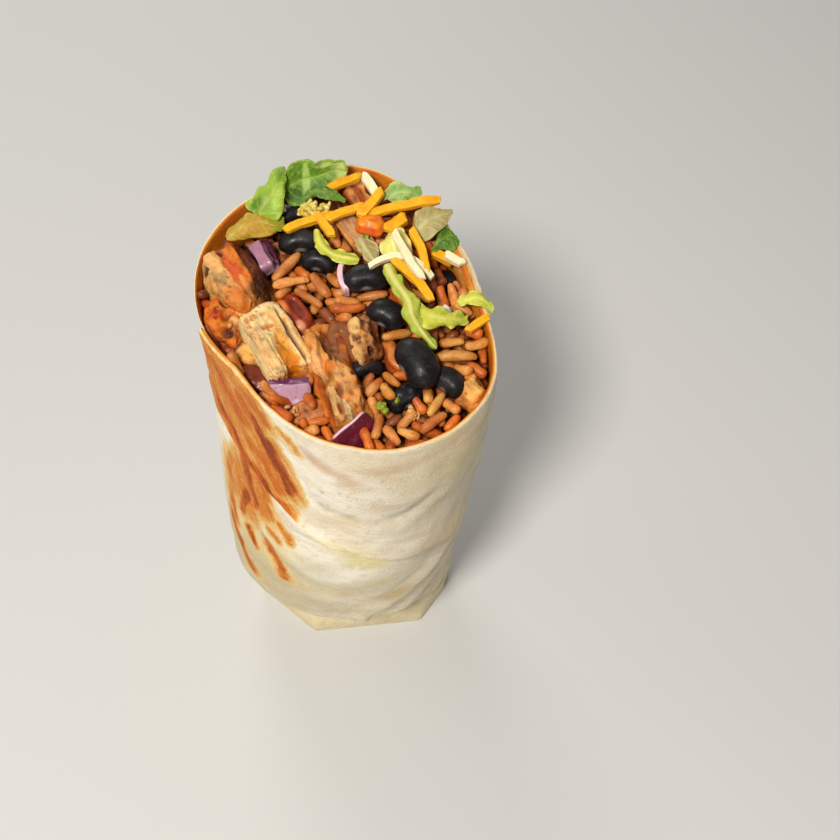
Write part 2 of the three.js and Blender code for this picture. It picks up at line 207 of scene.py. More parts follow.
def mixed(first: Array | Colour, second: Array | Colour, share: Array) -> Array:
    """Blend of two colours, or colour arrays, by a share for each point."""
    weight = np.clip(np.asarray(share, float), 0.0, 1.0)[..., None]
    return np.asarray(first, float) * (1.0 - weight) + np.asarray(second, float) * weight


def rotation(axis: int, degrees: float) -> Array:
    """A turn about one axis.

    Args:
        axis: 0, 1 or 2 for X, Y or Z.
        degrees: Angle of the turn.

    Returns:
        The 3 by 3 matrix.
    """
    turn = math.radians(degrees)
    matrix = np.eye(3)
    first, second = (axis + 1) % 3, (axis + 2) % 3
    matrix[first, first] = matrix[second, second] = math.cos(turn)
    matrix[second, first] = math.sin(turn)
    matrix[first, second] = -math.sin(turn)
    return matrix


def cut_height(x: Array | float, y: Array | float) -> Array:
    """Height of the sloping cut face over a point of the floor."""
    return CUT_HEIGHT + SLOPE * (np.asarray(y, float) - CUT_LINE_Y) + 0.0 * np.asarray(x, float)


# ---------------------------------------------------------------------------------------------
# Meshes: primitives, edit mode, modifiers and vertex moves
# ---------------------------------------------------------------------------------------------
class Start(Enum):
    """Primitives that pieces start from."""

    BALL = "uv_sphere"
    BLOCK = "cube"
    SHEET = "grid"


def pick(*pieces: bpy.types.Object) -> None:
    """Selects these objects alone and makes the first one active."""
    bpy.ops.object.select_all(action="DESELECT")
    for piece in pieces:
        piece.select_set(True)
    bpy.context.view_layer.objects.active = pieces[0]


def begin(kind: Start, name: str, **settings: float) -> bpy.types.Object:
    """Adds a primitive under a name.

    Args:
        kind: Which primitive.
        name: Name of the piece that it becomes.
        **settings: Size and divisions of the primitive.

    Returns:
        The new object.
    """
    bpy.ops.object.select_all(action="DESELECT")
    getattr(bpy.ops.mesh, f"primitive_{kind.value}_add")(**settings)
    piece = bpy.context.object
    piece.name = name
    piece.data.name = name
    return piece


@contextmanager
def editing(piece: bpy.types.Object) -> Iterator[None]:
    """Edit mode on one piece, with all of it selected while the block runs.

    Args:
        piece: The piece to edit.

    Yields:
        Nothing.
    """
    pick(piece)
    bpy.ops.object.mode_set(mode="EDIT")
    bpy.ops.mesh.select_all(action="SELECT")
    yield
    bpy.ops.object.mode_set(mode="OBJECT")


def finish_with(piece: bpy.types.Object, kind: str, **settings: object) -> None:
    """Adds a modifier to a piece and applies it.

    Args:
        piece: The piece to change.
        kind: The modifier's type.
        **settings: The modifier's settings.
    """
    pick(piece)
    modifier = piece.modifiers.new(kind.title(), kind)
    for key, value in settings.items():
        setattr(modifier, key, value)
    bpy.ops.object.modifier_apply(modifier=modifier.name)


def rows_of(parts: bpy.types.bpy_prop_collection, what: str) -> Array:
    """What is stored at every part of a mesh, as one row of three numbers each.

    Args:
        parts: The parts, such as the vertices.
        what: Name of the stored numbers.

    Returns:
        The rows.
    """
    flat = np.empty(len(parts) * 3)
    parts.foreach_get(what, flat)
    return flat.reshape(-1, 3)


def places_of(piece: bpy.types.Object) -> Array:
    """The places of a piece's vertices in millimetres, one row each."""
    return rows_of(piece.data.vertices, "co") / MM


def normals_of(piece: bpy.types.Object) -> Array:
    """The directions that a piece's vertices face, one row each."""
    return rows_of(piece.data.vertex_normals, "vector")


def move_to(piece: bpy.types.Object, places: Array) -> None:
    """Moves a piece's vertices to places in millimetres, one row each."""
    piece.data.vertices.foreach_set("co", (places * MM).ravel())
    piece.data.update()


def paint(piece: bpy.types.Object, name: str, values: Array) -> None:
    """Stores a value or a colour at each vertex for the piece's material.

    Args:
        piece: The piece to paint.
        name: Name of the attribute.
        values: One value, or one colour, for each vertex.
    """
    if values.ndim == 1:
        layer = piece.data.attributes.new(name, "FLOAT", "POINT")
        layer.data.foreach_set("value", values.astype(np.float32))
        return
    layer = piece.data.attributes.new(name, "FLOAT_COLOR", "POINT")
    colours = np.concatenate([values, np.ones((len(values), 1))], axis=1)
    layer.data.foreach_set("color", np.clip(colours, 0.0, 1.0).astype(np.float32).ravel())


def tidy(piece: bpy.types.Object, smooth_deg: float = 180.0) -> None:
    """Merges doubles, turns the faces outwards and shades a piece smooth.

    Args:
        piece: The piece to tidy.
        smooth_deg: Edges that bend by more than this stay sharp.
    """
    with editing(piece):
        bpy.ops.mesh.remove_doubles(threshold=0.002 * MM)
        bpy.ops.mesh.normals_make_consistent(inside=False)
    pick(piece)
    if smooth_deg < 180.0:
        bpy.ops.object.shade_smooth_by_angle(angle=math.radians(smooth_deg))
    else:
        bpy.ops.object.shade_smooth()


def ball_form(name: str, segments: int, rings: int) -> tuple[Array, list[tuple[int, ...]]]:
    """A ball of radius 1 as a form for many copies.

    Args:
        name: Name of the form while it is made.
        segments: Its divisions round its axis.
        rings: Its divisions along its axis.

    Returns:
        Its vertices and its faces.
    """
    ball = begin(Start.BALL, name, segments=segments, ring_count=rings, radius=MM)
    unit = places_of(ball)
    faces = [tuple(face.vertices) for face in ball.data.polygons]
    bpy.data.objects.remove(ball)
    return unit, faces


def copies(name: str, faces: Sequence[Sequence[int]], places: Array) -> bpy.types.Object:
    """One mesh with a copy of a form at each of many places.

    Args:
        name: Name of the new piece.
        faces: Faces of the form, as vertex numbers.
        places: Places of every copy's vertices, one block for each copy.

    Returns:
        The new piece.
    """
    size = places.shape[1]
    starts = range(0, size * len(places), size)
    every = [[corner + first for corner in face] for first in starts for face in faces]
    mesh = bpy.data.meshes.new(name)
    mesh.from_pydata((places.reshape(-1, 3) * MM).tolist(), [], every)
    piece = bpy.data.objects.new(name, mesh)
    bpy.context.scene.collection.objects.link(piece)
    pick(piece)
    bpy.ops.object.shade_smooth()
    return piece


def hand_over(piece: bpy.types.Object, finish: "Finish", *nodes: str) -> None:
    """Dresses a piece and gives it to the frame.

    Args:
        piece: The finished piece.
        finish: Its finish.
        *nodes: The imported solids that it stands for.
    """
    piece.data.materials.clear()
    piece.data.materials.append(finish.material())
    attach(piece, BODY)
    if nodes:
        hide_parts(*nodes)
    LOG.info("%s: %d faces", piece.name, len(piece.data.polygons))


# ---------------------------------------------------------------------------------------------
# Finishes
# ---------------------------------------------------------------------------------------------
@dataclass(frozen=True)
class Value:
    """A socket of a material that can be used in arithmetic."""

    tree: bpy.types.NodeTree
    socket: bpy.types.NodeSocket

    def _maths(self, operation: str, first: "Value | float", second: "Value | float") -> "Value":
        """Adds one Math node.

        Args:
            operation: The node's operation.
            first: Its first value.
            second: Its second value.

        Returns:
            The result.
        """
        node = self.tree.nodes.new("ShaderNodeMath")
        node.operation = operation
        for place, value in enumerate((first, second)):
            if isinstance(value, Value):
                self.tree.links.new(value.socket, node.inputs[place])
            else:
                node.inputs[place].default_value = value
        return Value(self.tree, node.outputs[0])

    def __add__(self, other: "Value | float") -> "Value":
        """Sum."""
        return self._maths("ADD", self, other)

    def __radd__(self, other: float) -> "Value":
        """Sum with a number in front."""
        return self._maths("ADD", other, self)

    def __sub__(self, other: "Value | float") -> "Value":
        """Difference."""
        return self._maths("SUBTRACT", self, other)

    def __rsub__(self, other: float) -> "Value":
        """Difference from a number."""
        return self._maths("SUBTRACT", other, self)

    def __mul__(self, other: "Value | float") -> "Value":
        """Product."""
        return self._maths("MULTIPLY", self, other)

    def __rmul__(self, other: float) -> "Value":
        """Product with a number in front."""
        return self._maths("MULTIPLY", other, self)


class Paintbox:
    """The nodes of one material."""

    def __init__(self, name: str) -> None:
        """Makes an empty material.

        Args:
            name: The material's name.
        """
        self.material = bpy.data.materials.new(name)
        self.material.use_nodes = True
        self.tree = self.material.node_tree
        self.tree.nodes.clear()

    def node(self, kind: str, settings: dict | None = None, inputs: dict | None = None,
             output: str | int | None = 0) -> Value | None:
        """Adds any node, with its settings first and then its inputs.

        Args:
            kind: The node's type, without its usual beginning.
            settings: Its settings by name; stops are a ramp's places and colours.
            inputs: Values or links by the name or number of the socket.
            output: Which output to return.

        Returns:
            That output.
        """
        node = self.tree.nodes.new("ShaderNode" + kind)
        for key, value in (settings or {}).items():
            if key == "stops":
                while len(node.color_ramp.elements) < len(value):
                    node.color_ramp.elements.new(1.0)
                for element, (place, colour) in zip(node.color_ramp.elements, value):
                    element.position = place
                    element.color = (*colour, 1.0)
            else:
                setattr(node, key, value)
        for key, value in (inputs or {}).items():
            if isinstance(value, Value):
                self.tree.links.new(value.socket, node.inputs[key])
            else:
                node.inputs[key].default_value = value
        return None if output is None else Value(self.tree, node.outputs[output])

    def place(self, stretch: Sequence[float] = (1.0, 1.0, 1.0), turn_deg: float = 0.0) -> Value:
        """The place on the piece in millimetres, stretched and turned for grain.

        Args:
            stretch: How much each direction is drawn out.
            turn_deg: Turn about the upright axis.

        Returns:
            The place.
        """
        place = self.node("TexCoord", output="Object")
        scale = tuple(1.0 / (MM * draw) for draw in stretch)
        turn = (0.0, 0.0, math.radians(turn_deg))
        return self.node("Mapping", inputs={"Vector": place, "Scale": scale, "Rotation": turn})

    def drawn(self, place: Value, sizes: Sequence[float], turn_deg: float) -> Value:
        """A stored place of the unrolled wall in grains of a length, width and depth that slant."""
        inputs = {
            "Vector": place,
            "Rotation": (0.0, 0.0, math.radians(turn_deg)),
            "Scale": tuple(size / UNROLLED_SIZE for size in sizes),
        }
        return self.node("Mapping", {"vector_type": "TEXTURE"}, inputs)

    def noise(self, size: float, detail: float = 3.0, place: Value | None = None,
              roughness: float = 0.55) -> Value:
        """Noise from 0 to 1, its bumps as wide as size, read at a place or on the piece itself."""
        inputs = {
            "Vector": place or self.place(),
            "Scale": 1.0 / size,
            "Detail": detail,
            "Roughness": roughness,
        }
        return self.node("TexNoise", inputs=inputs)

    def between(self, value: Value, low: float, high: float, bottom: float = 0.0,
                top: float = 1.0) -> Value:
        """Smooth step of a value, from bottom at low to top at high."""
        inputs = {
            "Value": value, "From Min": low, "From Max": high, "To Min": bottom, "To Max": top,
        }
        return self.node("MapRange", {"interpolation_type": "SMOOTHSTEP"}, inputs)

    def painted(self, name: str) -> Value:
        """A colour stored on the piece."""
        return self.node("Attribute", {"attribute_name": name}, output="Color")

    def stored(self, name: str) -> Value:
        """A number stored on the piece."""
        return self.node("Attribute", {"attribute_name": name}, output="Fac")

    def blend(self, first: Value | Colour, second: Value | Colour, share: Value | float,
              kind: str = "MIX") -> Value:
        """Mixes two colours.

        Args:
            first: Colour at share 0.
            second: Colour at share 1.
            share: How much of the second.
            kind: The way they blend.

        Returns:
            The blended colour.
        """
        colours = [c if isinstance(c, Value) else (*c, 1.0) for c in (first, second)]
        inputs = {0: share, 6: colours[0], 7: colours[1]}
        return self.node("Mix", {"data_type": "RGBA", "blend_type": kind}, inputs, output=2)

    def bump(self, height: Value, depth: float, under: Value | None = None) -> Value:
        """Relief on the surface.

        Args:
            height: Height of the relief, from 0 to 1.
            depth: What a height of 1 stands for, in millimetres.
            under: Normal of a coarser relief.

        Returns:
            The normal.
        """
        inputs = {"Height": height, "Distance": depth * MM, "Strength": 1.0}
        if under is not None:
            inputs["Normal"] = under
        return self.node("Bump", inputs=inputs)

    def close(self, **sockets: object) -> bpy.types.Material:
        """Adds the shader and the output.

        Args:
            **sockets: Values and links of the shader, with _ for each blank in a name.

        Returns:
            The finished material.
        """
        inputs = {}
        for key, value in sockets.items():
            if key.endswith("Color") or key.endswith("Tint"):
                value = value if isinstance(value, Value) else (*value, 1.0)
            inputs[key.replace("_", " ")] = value
        shader = self.node("BsdfPrincipled", inputs=inputs)
        self.node("OutputMaterial", inputs={"Surface": shader}, output=None)
        return self.material


class Finish:
    """A finish that pieces share: its material is made once."""

    slot: str
    _made: dict = {}

    def material(self) -> bpy.types.Material:
        """The finish's material, made on its first use."""
        if self not in Finish._made:
            Finish._made[self] = self.mix()
        return Finish._made[self]

    def mix(self) -> bpy.types.Material:
        """Makes the material."""
        raise NotImplementedError


@dataclass(frozen=True)
class Food(Finish):
    """A moist filling: its own painted tint with flecks, fine relief and light that sinks in."""

    name: str
    slot: str
    fleck: Colour
    fleck_size: float = 0.9
    fleck_share: float = 0.5
    shade: float = 0.3
    shade_size: float = 2.5
    relief: float = 0.12
    relief_size: float = 0.5
    gloss: tuple[float, float] = (0.35, 0.6)
    sink: float = 0.15
    sink_reach: float = 1.0
    wet: float = 0.0
    shine: float = 0.34
    stretch: tuple[float, float, float] = (1.0, 1.0, 1.0)

    def mix(self) -> bpy.types.Material:
        """Makes the material.

        Returns:
            The material.
        """
        box = Paintbox(self.name)
        place = box.place(self.stretch)
        broad = box.noise(self.shade_size, 4.0, place)
        fine = box.noise(self.fleck_size, 3.0, place)
        tint = box.painted(TINT)
        darker = box.blend(tint, tint, 1.0, "MULTIPLY")
        shaded = box.blend(tint, darker, box.between(broad, 0.35, 0.75) * self.shade)
        flecks = box.between(fine, 0.55, 0.72) * self.fleck_share
        base = box.blend(shaded, self.fleck, flecks)
        low, high = self.gloss
        rough = box.between(box.noise(self.shade_size * 0.6, 2.0, place), 0.3, 0.7, low, high)
        relief = box.bump(box.noise(self.relief_size, 4.0, place), self.relief)
        return box.close(
            Base_Color=base,
            Roughness=rough,
            Normal=relief,
            Specular_IOR_Level=self.shine,
            Subsurface_Weight=self.sink,
            Subsurface_Radius=(1.0, 0.45, 0.2),
            Subsurface_Scale=self.sink_reach * MM,
            Coat_Weight=self.wet,
            Coat_Roughness=0.18,
        )


@dataclass(frozen=True)
class Tortilla(Finish):
    """Flour tortilla: painted bread with slanting grain, toasted streaks and oil stains, the stains
    deepened with painted shade low inside the opening.
    """

    name: str = "tortilla"
    slot: str = "tortilla"
    long_grain: tuple[float, float, float] = (11.0, 1.3, 1.0)
    long_slant_deg: float = -17.0
    cross_grain: tuple[float, float, float] = (7.0, 1.1, 1.0)
    cross_slant_deg: float = -48.0
    line: Colour = rgb(206, 184, 142)
    pale_line: Colour = rgb(253, 247, 232)
    freckle: Colour = rgb(202, 172, 134)
    toast_ramp: tuple[tuple[float, Colour], ...] = (
        (0.0, rgb(242, 226, 188)),
        (0.14, rgb(236, 198, 128)),
        (0.32, rgb(222, 154, 74)),
        (0.54, rgb(208, 118, 40)),
        (0.8, rgb(186, 90, 28)),
        (1.0, rgb(140, 60, 18)),
    )
    oil_ramp: tuple[tuple[float, Colour], ...] = (
        (0.0, rgb(232, 190, 112)),
        (0.35, rgb(214, 134, 36)),
        (0.7, rgb(196, 100, 18)),
        (1.0, rgb(140, 60, 16)),
    )
    relief: float = 0.24
    dull: float = 0.66
    oily: float = 0.36

    def mix(self) -> bpy.types.Material:
        """Makes the material.

        Returns:
            The material.
        """
        box = Paintbox(self.name)
        place = box.place()
        sheet = box.painted(UNROLLED)
        fibres = box.noise(1.0, 5.0, box.drawn(sheet, self.long_grain, self.long_slant_deg), 0.62)
        bands = box.noise(1.0, 5.0, box.drawn(sheet, self.cross_grain, self.cross_slant_deg), 0.66)
        fine = box.noise(0.8, 4.0, place, 0.65)
        bread = box.painted(TINT)
        bread = box.blend(bread, self.line, box.between(fibres, 0.48, 0.74) * 0.26)
        bread = box.blend(bread, self.pale_line, box.between(fibres, 0.48, 0.3) * 0.2)
        freckles = box.between(box.noise(2.4, 6.0, place, 0.78), 0.5, 0.68) * 0.42
        bread = box.blend(bread, self.freckle, freckles)
        stored = box.stored(TOAST)
        grit = (bands - 0.5) * 0.75 + (fine - 0.5) * 0.6
        toast = stored + grit * box.between(stored, 0.0, 0.35)
        toasted = box.node("ValToRGB", {"stops": self.toast_ramp}, {"Fac": toast})
        base = box.blend(bread, toasted, box.between(toast, 0.02, 0.15))
        oil = box.stored(OIL_AND_SHADE)
        # The stored oil also holds painted shade low inside the opening.
        soaked_and_shaded = oil + (bands - 0.5) * 0.4 * box.between(oil, 0.02, 0.2)
        stain = box.node("ValToRGB", {"stops": self.oil_ramp}, {"Fac": soaked_and_shaded})
        base = box.blend(base, stain, box.between(oil, 0.02, 0.25))
        weave = box.noise(0.5, 4.0, place, 0.6)
        relief = box.bump(weave * 1.5 + fibres * 0.6 + bands * 0.5, self.relief)
        rough = box.between(oil, 0.1, 0.8, self.dull, self.oily)
        return box.close(
            Base_Color=base,
            Roughness=rough,
            Normal=relief,
            Specular_IOR_Level=0.22,
            Subsurface_Weight=0.1,
            Subsurface_Radius=(1.0, 0.6, 0.35),
            Subsurface_Scale=1.0 * MM,
        )


@dataclass(frozen=True)
class Ground(Finish):
    """The plain pale floor."""

    name: str = "floor"
    slot: str = "floor"

    def mix(self) -> bpy.types.Material:
        """Makes the material."""
        box = Paintbox(self.name)
        return box.close(Base_Color=rgb(206, 205, 203), Roughness=0.8)


RICE = Food(
    "rice", "rice", rgb(140, 62, 26), fleck_size=0.7, fleck_share=0.5, shade=0.42, shade_size=2.2,
    relief=0.18, relief_size=0.55, gloss=(0.36, 0.58), sink=0.28, sink_reach=1.2, wet=0.1,
)
SAUCE = Food("rice_sauce", "rice", rgb(70, 28, 12), fleck_share=0.5, relief=0.3, relief_size=1.2,
             gloss=(0.25, 0.5), sink=0.05, wet=0.25)
CHICKEN = Food(
    "chicken", "chicken", rgb(126, 58, 26), fleck_size=0.6, fleck_share=0.4, shade=0.45,
    shade_size=1.8, relief=0.34, relief_size=0.5, gloss=(0.34, 0.62), sink=0.16, wet=0.06,
    shine=0.26,
)
BEAN = Food(
    "bean", "bean", rgb(70, 74, 92), fleck_size=0.5, fleck_share=0.25, shade=0.4, shade_size=2.0,
    relief=0.05, relief_size=0.6, gloss=(0.32, 0.55), sink=0.0, wet=0.04, shine=0.26,
)
ONION = Food(
    "onion", "onion", rgb(150, 95, 140), fleck_size=0.8, fleck_share=0.3, shade=0.2, relief=0.05,
    gloss=(0.2, 0.35), sink=0.35, sink_reach=1.5, wet=0.2, stretch=(1.0, 1.0, 3.0),
)
PEPPER = Food("pepper", "pepper", rgb(110, 36, 12), fleck_size=1.1, fleck_share=0.35, shade=0.4,
              relief=0.12, gloss=(0.28, 0.5), sink=0.2, sink_reach=1.2, wet=0.18)
LETTUCE = Food(
    "lettuce", "lettuce", rgb(206, 208, 116), fleck_size=1.0, fleck_share=0.25, shade=0.25,
    shade_size=2.4, relief=0.12, relief_size=0.7, gloss=(0.42, 0.62), sink=0.25, sink_reach=0.8,
)
ORANGE_CHEESE = Food(
    "orange_cheese", "orange_cheese", rgb(252, 206, 84), fleck_size=1.0, fleck_share=0.4,
    shade=0.22, relief=0.08, gloss=(0.38, 0.58), sink=0.3, sink_reach=1.2,
)
WHITE_CHEESE = Food(
    "white_cheese", "white_cheese", rgb(255, 250, 235), fleck_size=1.0, fleck_share=0.3, shade=0.12,
    relief=0.05, gloss=(0.35, 0.5), sink=0.3, sink_reach=1.2,
)


# ---------------------------------------------------------------------------------------------
# The wrap
# ---------------------------------------------------------------------------------------------
@dataclass(frozen=True)
class Section:
    """The wrap's outline at one level: its middle, and its radius every 30 degrees."""

    level: float
    x: float
    y: float
    radii: tuple[float, ...]


SECTIONS = (
    Section(0.0, 0, 0, (29.5, 27, 22, 19.5, 22, 27, 28.4, 22, 20.6, 18.7, 19.8, 26.3)),
    Section(CREASE, 0, 0, (30, 24, 18.5, 17, 18.5, 24, 29.4, 20.4, 16.7, 16, 18.2, 26)),
    Section(0.2, 0, 1, (30.8, 30.4, 29, 27.5, 29, 31, 32.2, 28.6, 26, 25.5, 27.2, 28.8)),
    Section(0.4, 1.5, 3, (33.4, 33.2, 33, 32.5, 33.4, 34, 34, 32, 31.4, 31.5, 32.6, 32.8)),
    Section(0.62, 3.6, 4.5, (34, 33.2, 34.2, 35.2, 35.8, 36, 34.7, 32, 32, 34.5, 36, 35)),
    Section(0.84, 4.6, 5, (34, 32.4, 34.4, 37, 37, 37.6, 35, 30.4, 30.6, 34, 37, 36.8)),
    Section(1.0, 4.6, 5, (32.5, 31.7, 34.5, 38.7, 37.9, 38.4, 35.8, 29.4, 29.8, 33, 36.9, 38.2)),
)
RIM_MIDDLE = (4.6, 5.0)
FOOT_CORNERS = (
    (29.6, -2.8), (26.0, 13.0), (5.0, 20.4), (-23.0, 14.2), (-27.9, -3.1), (-9.8, -18.4),
    (21.5, -14.9),
)


def cubic(points: Sequence[Array], share: Array) -> Array:
    """Smooth cubic between the middle two of four values.

    Args:
        points: The four values.
        share: How far from the second to the third.

    Returns:
        The blended value.
    """
    before, first, second, after = points
    start, end = (second - before) / 2.0, (after - first) / 2.0
    bend = first - second
    square = -3.0 * bend - 2.0 * start - end
    return first + share * (start + share * (square + share * (2.0 * bend + start + end)))


def section_radius(section: Section, turn: Array) -> Array:
    """Radius of a section in directions given in turns.

    Args:
        section: The section.
        turn: Directions, from +X towards the back.

    Returns:
        The radii.
    """
    radii = np.array(section.radii)
    place = (turn % 1.0) * len(radii)
    first = np.floor(place).astype(int)
    return cubic([radii[(first + step) % len(radii)] for step in (-1, 0, 1, 2)], place - first)


def over_sections(level: Array, values: Sequence[Array | float]) -> Array:
    """Blend of one value of each section at levels of the wall.

    Args:
        level: Levels, from 0 at the foot to 1 at the cut.
        values: The value at each section.

    Returns:
        The blended values.
    """
    last = len(SECTIONS) - 1
    marks = np.array([section.level for section in SECTIONS])
    low = np.clip(np.searchsorted(marks, level, side="left") - 1, 0, last - 1)
    table = np.stack([np.broadcast_to(value, level.shape) for value in values])
    steps = [np.clip(low + step, 0, last)[None] for step in (-1, 0, 1, 2)]
    ends = [np.take_along_axis(table, step, 0)[0] for step in steps]
    share = (level - marks[low]) / (marks[low + 1] - marks[low])
    return np.where(low == 0, lerp(ends[1], ends[2], share), cubic(ends, share))


def straight_foot(turn: Array) -> Array:
    """Radius of the foot's straight-edged outline in directions given in turns.

    Args:
        turn: Directions in turns.

    Returns:
        The radii.
    """
    angle = turn * 2.0 * math.pi
    best = np.full(turn.shape, 99.0)
    for first, second in zip(FOOT_CORNERS, FOOT_CORNERS[1:] + FOOT_CORNERS[:1]):
        out_x, out_y = second[1] - first[1], first[0] - second[0]
        facing = np.cos(angle) * out_x + np.sin(angle) * out_y
        reach = (first[0] * out_x + first[1] * out_y) / np.maximum(facing, 1e-3)
        best = np.where(facing > 0.0, np.minimum(best, reach), best)
    return best


def foot_radius(turn: Array) -> Array:
    """Radius of the foot, with its corners rounded, most of all at the back.

    Args:
        turn: Directions in turns.

    Returns:
        The radii.
    """
    spread = lerp(0.004, 0.03, rise(np.sin(turn * 2.0 * math.pi), -0.3, 0.3))
    steps = (-1.5, -0.75, 0.0, 0.75, 1.5)
    return np.mean([straight_foot(turn + step * spread) for step in steps], axis=0)


def past_flap(turn: Array) -> Array:
    """How far round directions are past the flap's upright edge, from -0.5 to 0.5 turns."""
    return (turn - FLAP_TURN + 0.5) % 1.0 - 0.5


def near_end(turn: Array) -> Array:
    """How near directions are to the tortilla's inner end, from 0 away from it to 1 over it."""
    return 1.0 - rise(np.abs((turn - INNER_END_TURN + 0.5) % 1.0 - 0.5), *END_REACH)


def on_drum(angle: Array, height: Array) -> Array:
    """Places on a plain drum as wide as the wrap, where noise is read so that it meets itself."""
    return np.stack([np.cos(angle) * DRUM_RADIUS, np.sin(angle) * DRUM_RADIUS, height], axis=-1)


def outline(turn: Array, level: Array) -> tuple[Array, Array, Array]:
    """The wrap's middle and outer radius.

    Args:
        turn: Directions in turns.
        level: Levels of the wall.

    Returns:
        The middle's x and y and the radius.
    """
    middle_x = over_sections(level, [section.x for section in SECTIONS])
    middle_y = over_sections(level, [section.y for section in SECTIONS])
    radius = over_sections(level, [section_radius(s, turn) for s in SECTIONS])
    foot = 1.0 - rise(level, 0.0, CREASE * 0.9)
    return middle_x, middle_y, lerp(radius, foot_radius(turn), foot)


def wall_inside(turn: Array, level: Array) -> Array:
    """How far the inside of the wall lies from its outline.

    Args:
        turn: Directions in turns.
        level: Levels of the wall.

    Returns:
        The thickness, more where layers of the tortilla lie together.
    """
    lap = INNER_END * near_end(turn) * rise(level, 0.3, 0.7)
    flap = 1.0 - rise(np.abs(past_flap(turn)), 0.02, 0.12)
    return TORTILLA * (1.0 - 0.24 * rise(level, 0.95, 1.0)) + lap + FLAP_STEP * flap * 0.4


def on_wrap(turn: Array, level: Array, inset: Array | float = 0.0) -> Array:
    """Places on the wrap.

    Args:
        turn: Directions in turns.
        level: Levels of the wall.
        inset: How far inside the outline.

    Returns:
        The places, with three numbers in the last axis.
    """
    middle_x, middle_y, radius = outline(turn, level)
    angle = turn * 2.0 * math.pi
    x = middle_x + np.cos(angle) * (radius - inset)
    y = middle_y + np.sin(angle) * (radius - inset)
    return np.stack([x, y, level * cut_height(x, y)], axis=-1)


def on_disc(turn: Array, level: float, share: float, gap: float, height: float) -> Array:
    """A ring of places on a flat disc across the wrap.

    Args:
        turn: Directions in turns.
        level: Level whose outline the disc has.
        share: The ring's share of the disc's radius.
        gap: How far the disc stays inside the outline.
        height: Height of the disc.

    Returns:
        The places.
    """
    middle_x, middle_y, radius = outline(turn, np.full(turn.shape, level))
    angle = turn * 2.0 * math.pi
    reach = (radius - gap) * share
    flat = [middle_x + np.cos(angle) * reach, middle_y + np.sin(angle) * reach]
    return np.stack([*flat, np.full(turn.shape, height)], axis=-1)


def keep_inside(places: Array, gap: float = 0.2) -> Array:
    """Moves places that are past the inside of the wall back to it.

    Args:
        places: Places to test.
        gap: Space to keep from the wall.

    Returns:
        The places, moved where they had to be.
    """
    x, y = places[..., 0] - RIM_MIDDLE[0], places[..., 1] - RIM_MIDDLE[1]
    turn = np.arctan2(y, x) / (2.0 * math.pi) % 1.0
    level = places[..., 2] / cut_height(places[..., 0], places[..., 1])
    near = np.clip(level, 0.7, 1.0)
    reach = outline(turn, near)[2] - wall_inside(turn, near) - gap
    share = np.minimum(1.0, reach / np.maximum(np.hypot(x, y), 1e-6))
    share = np.where(level < 1.01, share, 1.0)
    moved = np.stack([RIM_MIDDLE[0] + x * share, RIM_MIDDLE[1] + y * share], axis=-1)
    return np.concatenate([moved, places[..., 2:]], axis=-1)


def turned(name: str, places: Array) -> bpy.types.Object:
    """A closed body from a sheet wrapped round: columns go round and rows from axis to axis.

    Args:
        name: Name of the piece.
        places: Places by column and row; the last column meets the first.

    Returns:
        The sheet with its vertices in place, not yet merged.
    """
    columns, rows = places.shape[0] - 1, places.shape[1] - 1
    piece = begin(Start.SHEET, name, x_subdivisions=columns, y_subdivisions=rows, size=1.0)
    flat = places_of(piece) * MM + 0.5
    column = np.rint(flat[:, 0] * columns).astype(int)
    row = np.rint(flat[:, 1] * rows).astype(int)
    move_to(piece, places[column, row])
    piece["columns"], piece["rows"] = columns, rows
    return piece


def by_sheet(piece: bpy.types.Object, values: Array) -> Array:
    """Values by column and row as values by vertex of a sheet that is still unmerged.

    Args:
        piece: A sheet made by turned.
        values: Values by column and row.

    Returns:
        One value for each vertex.
    """
    uv = np.empty(len(piece.data.loops) * 2)
    piece.data.uv_layers.active.data.foreach_get("uv", uv)
    corner = np.empty(len(piece.data.loops), dtype=np.int32)
    piece.data.loops.foreach_get("vertex_index", corner)
    share = np.zeros((len(piece.data.vertices), 2))
    share[corner] = uv.reshape(-1, 2)
    column = np.rint(share[:, 0] * piece["columns"]).astype(int)
    row = np.rint(share[:, 1] * piece["rows"]).astype(int)
    return values[column, row]


def line_distance(around: Array, height: Array, line: Sequence[tuple[float, float]]) -> Array:
    """Distance on the unrolled wall to a line of places, each a direction and a level.

    Args:
        around: Way round the wall in millimetres.
        height: Height on the wall in millimetres.
        line: The places along the line.

    Returns:
        The distance in millimetres, below zero under the line.
    """
    points = np.array(line)
    points[:, 0] = FLAP_TURN + (points[:, 0] - FLAP_TURN) % 1.0
    points = points * (MEAN_GIRTH, CUT_HEIGHT)
    best = np.full(around.shape, 999.0)
    for first, second in zip(points[:-1], points[1:]):
        along = second - first
        away = np.stack([around - first[0], height - first[1]], axis=-1)
        share = np.clip(away @ along / (along @ along), 0.0, 1.0)
        away = away - share[..., None] * along
        distance = np.linalg.norm(away, axis=-1) * np.where(away[..., 1] < 0, -1.0, 1.0)
        best = np.where(np.abs(distance) < np.abs(best), distance, best)
    return best


@dataclass(frozen=True)
class Streak:
    """A toasted streak along a line of places of the wall."""

    width: float
    depth: float
    line: tuple[tuple[float, float], ...]
    halo: float = 3.4

    def mark(self, around: Array, height: Array) -> Array:
        """How toasted the streak makes each place of the unrolled wall.

        Args:
            around: Way round the wall in millimetres.
            height: Height on the wall in millimetres.

        Returns:
            The toast, from 0 to the streak's depth.
        """
        distance = np.abs(line_distance(around, height, self.line))
        streak = self.depth * (1.0 - rise(distance, self.width * 0.25, self.width))
        halo = 0.42 * self.depth * (1.0 - rise(distance, self.width * 0.6, self.width + self.halo))
        return np.maximum(streak, halo)


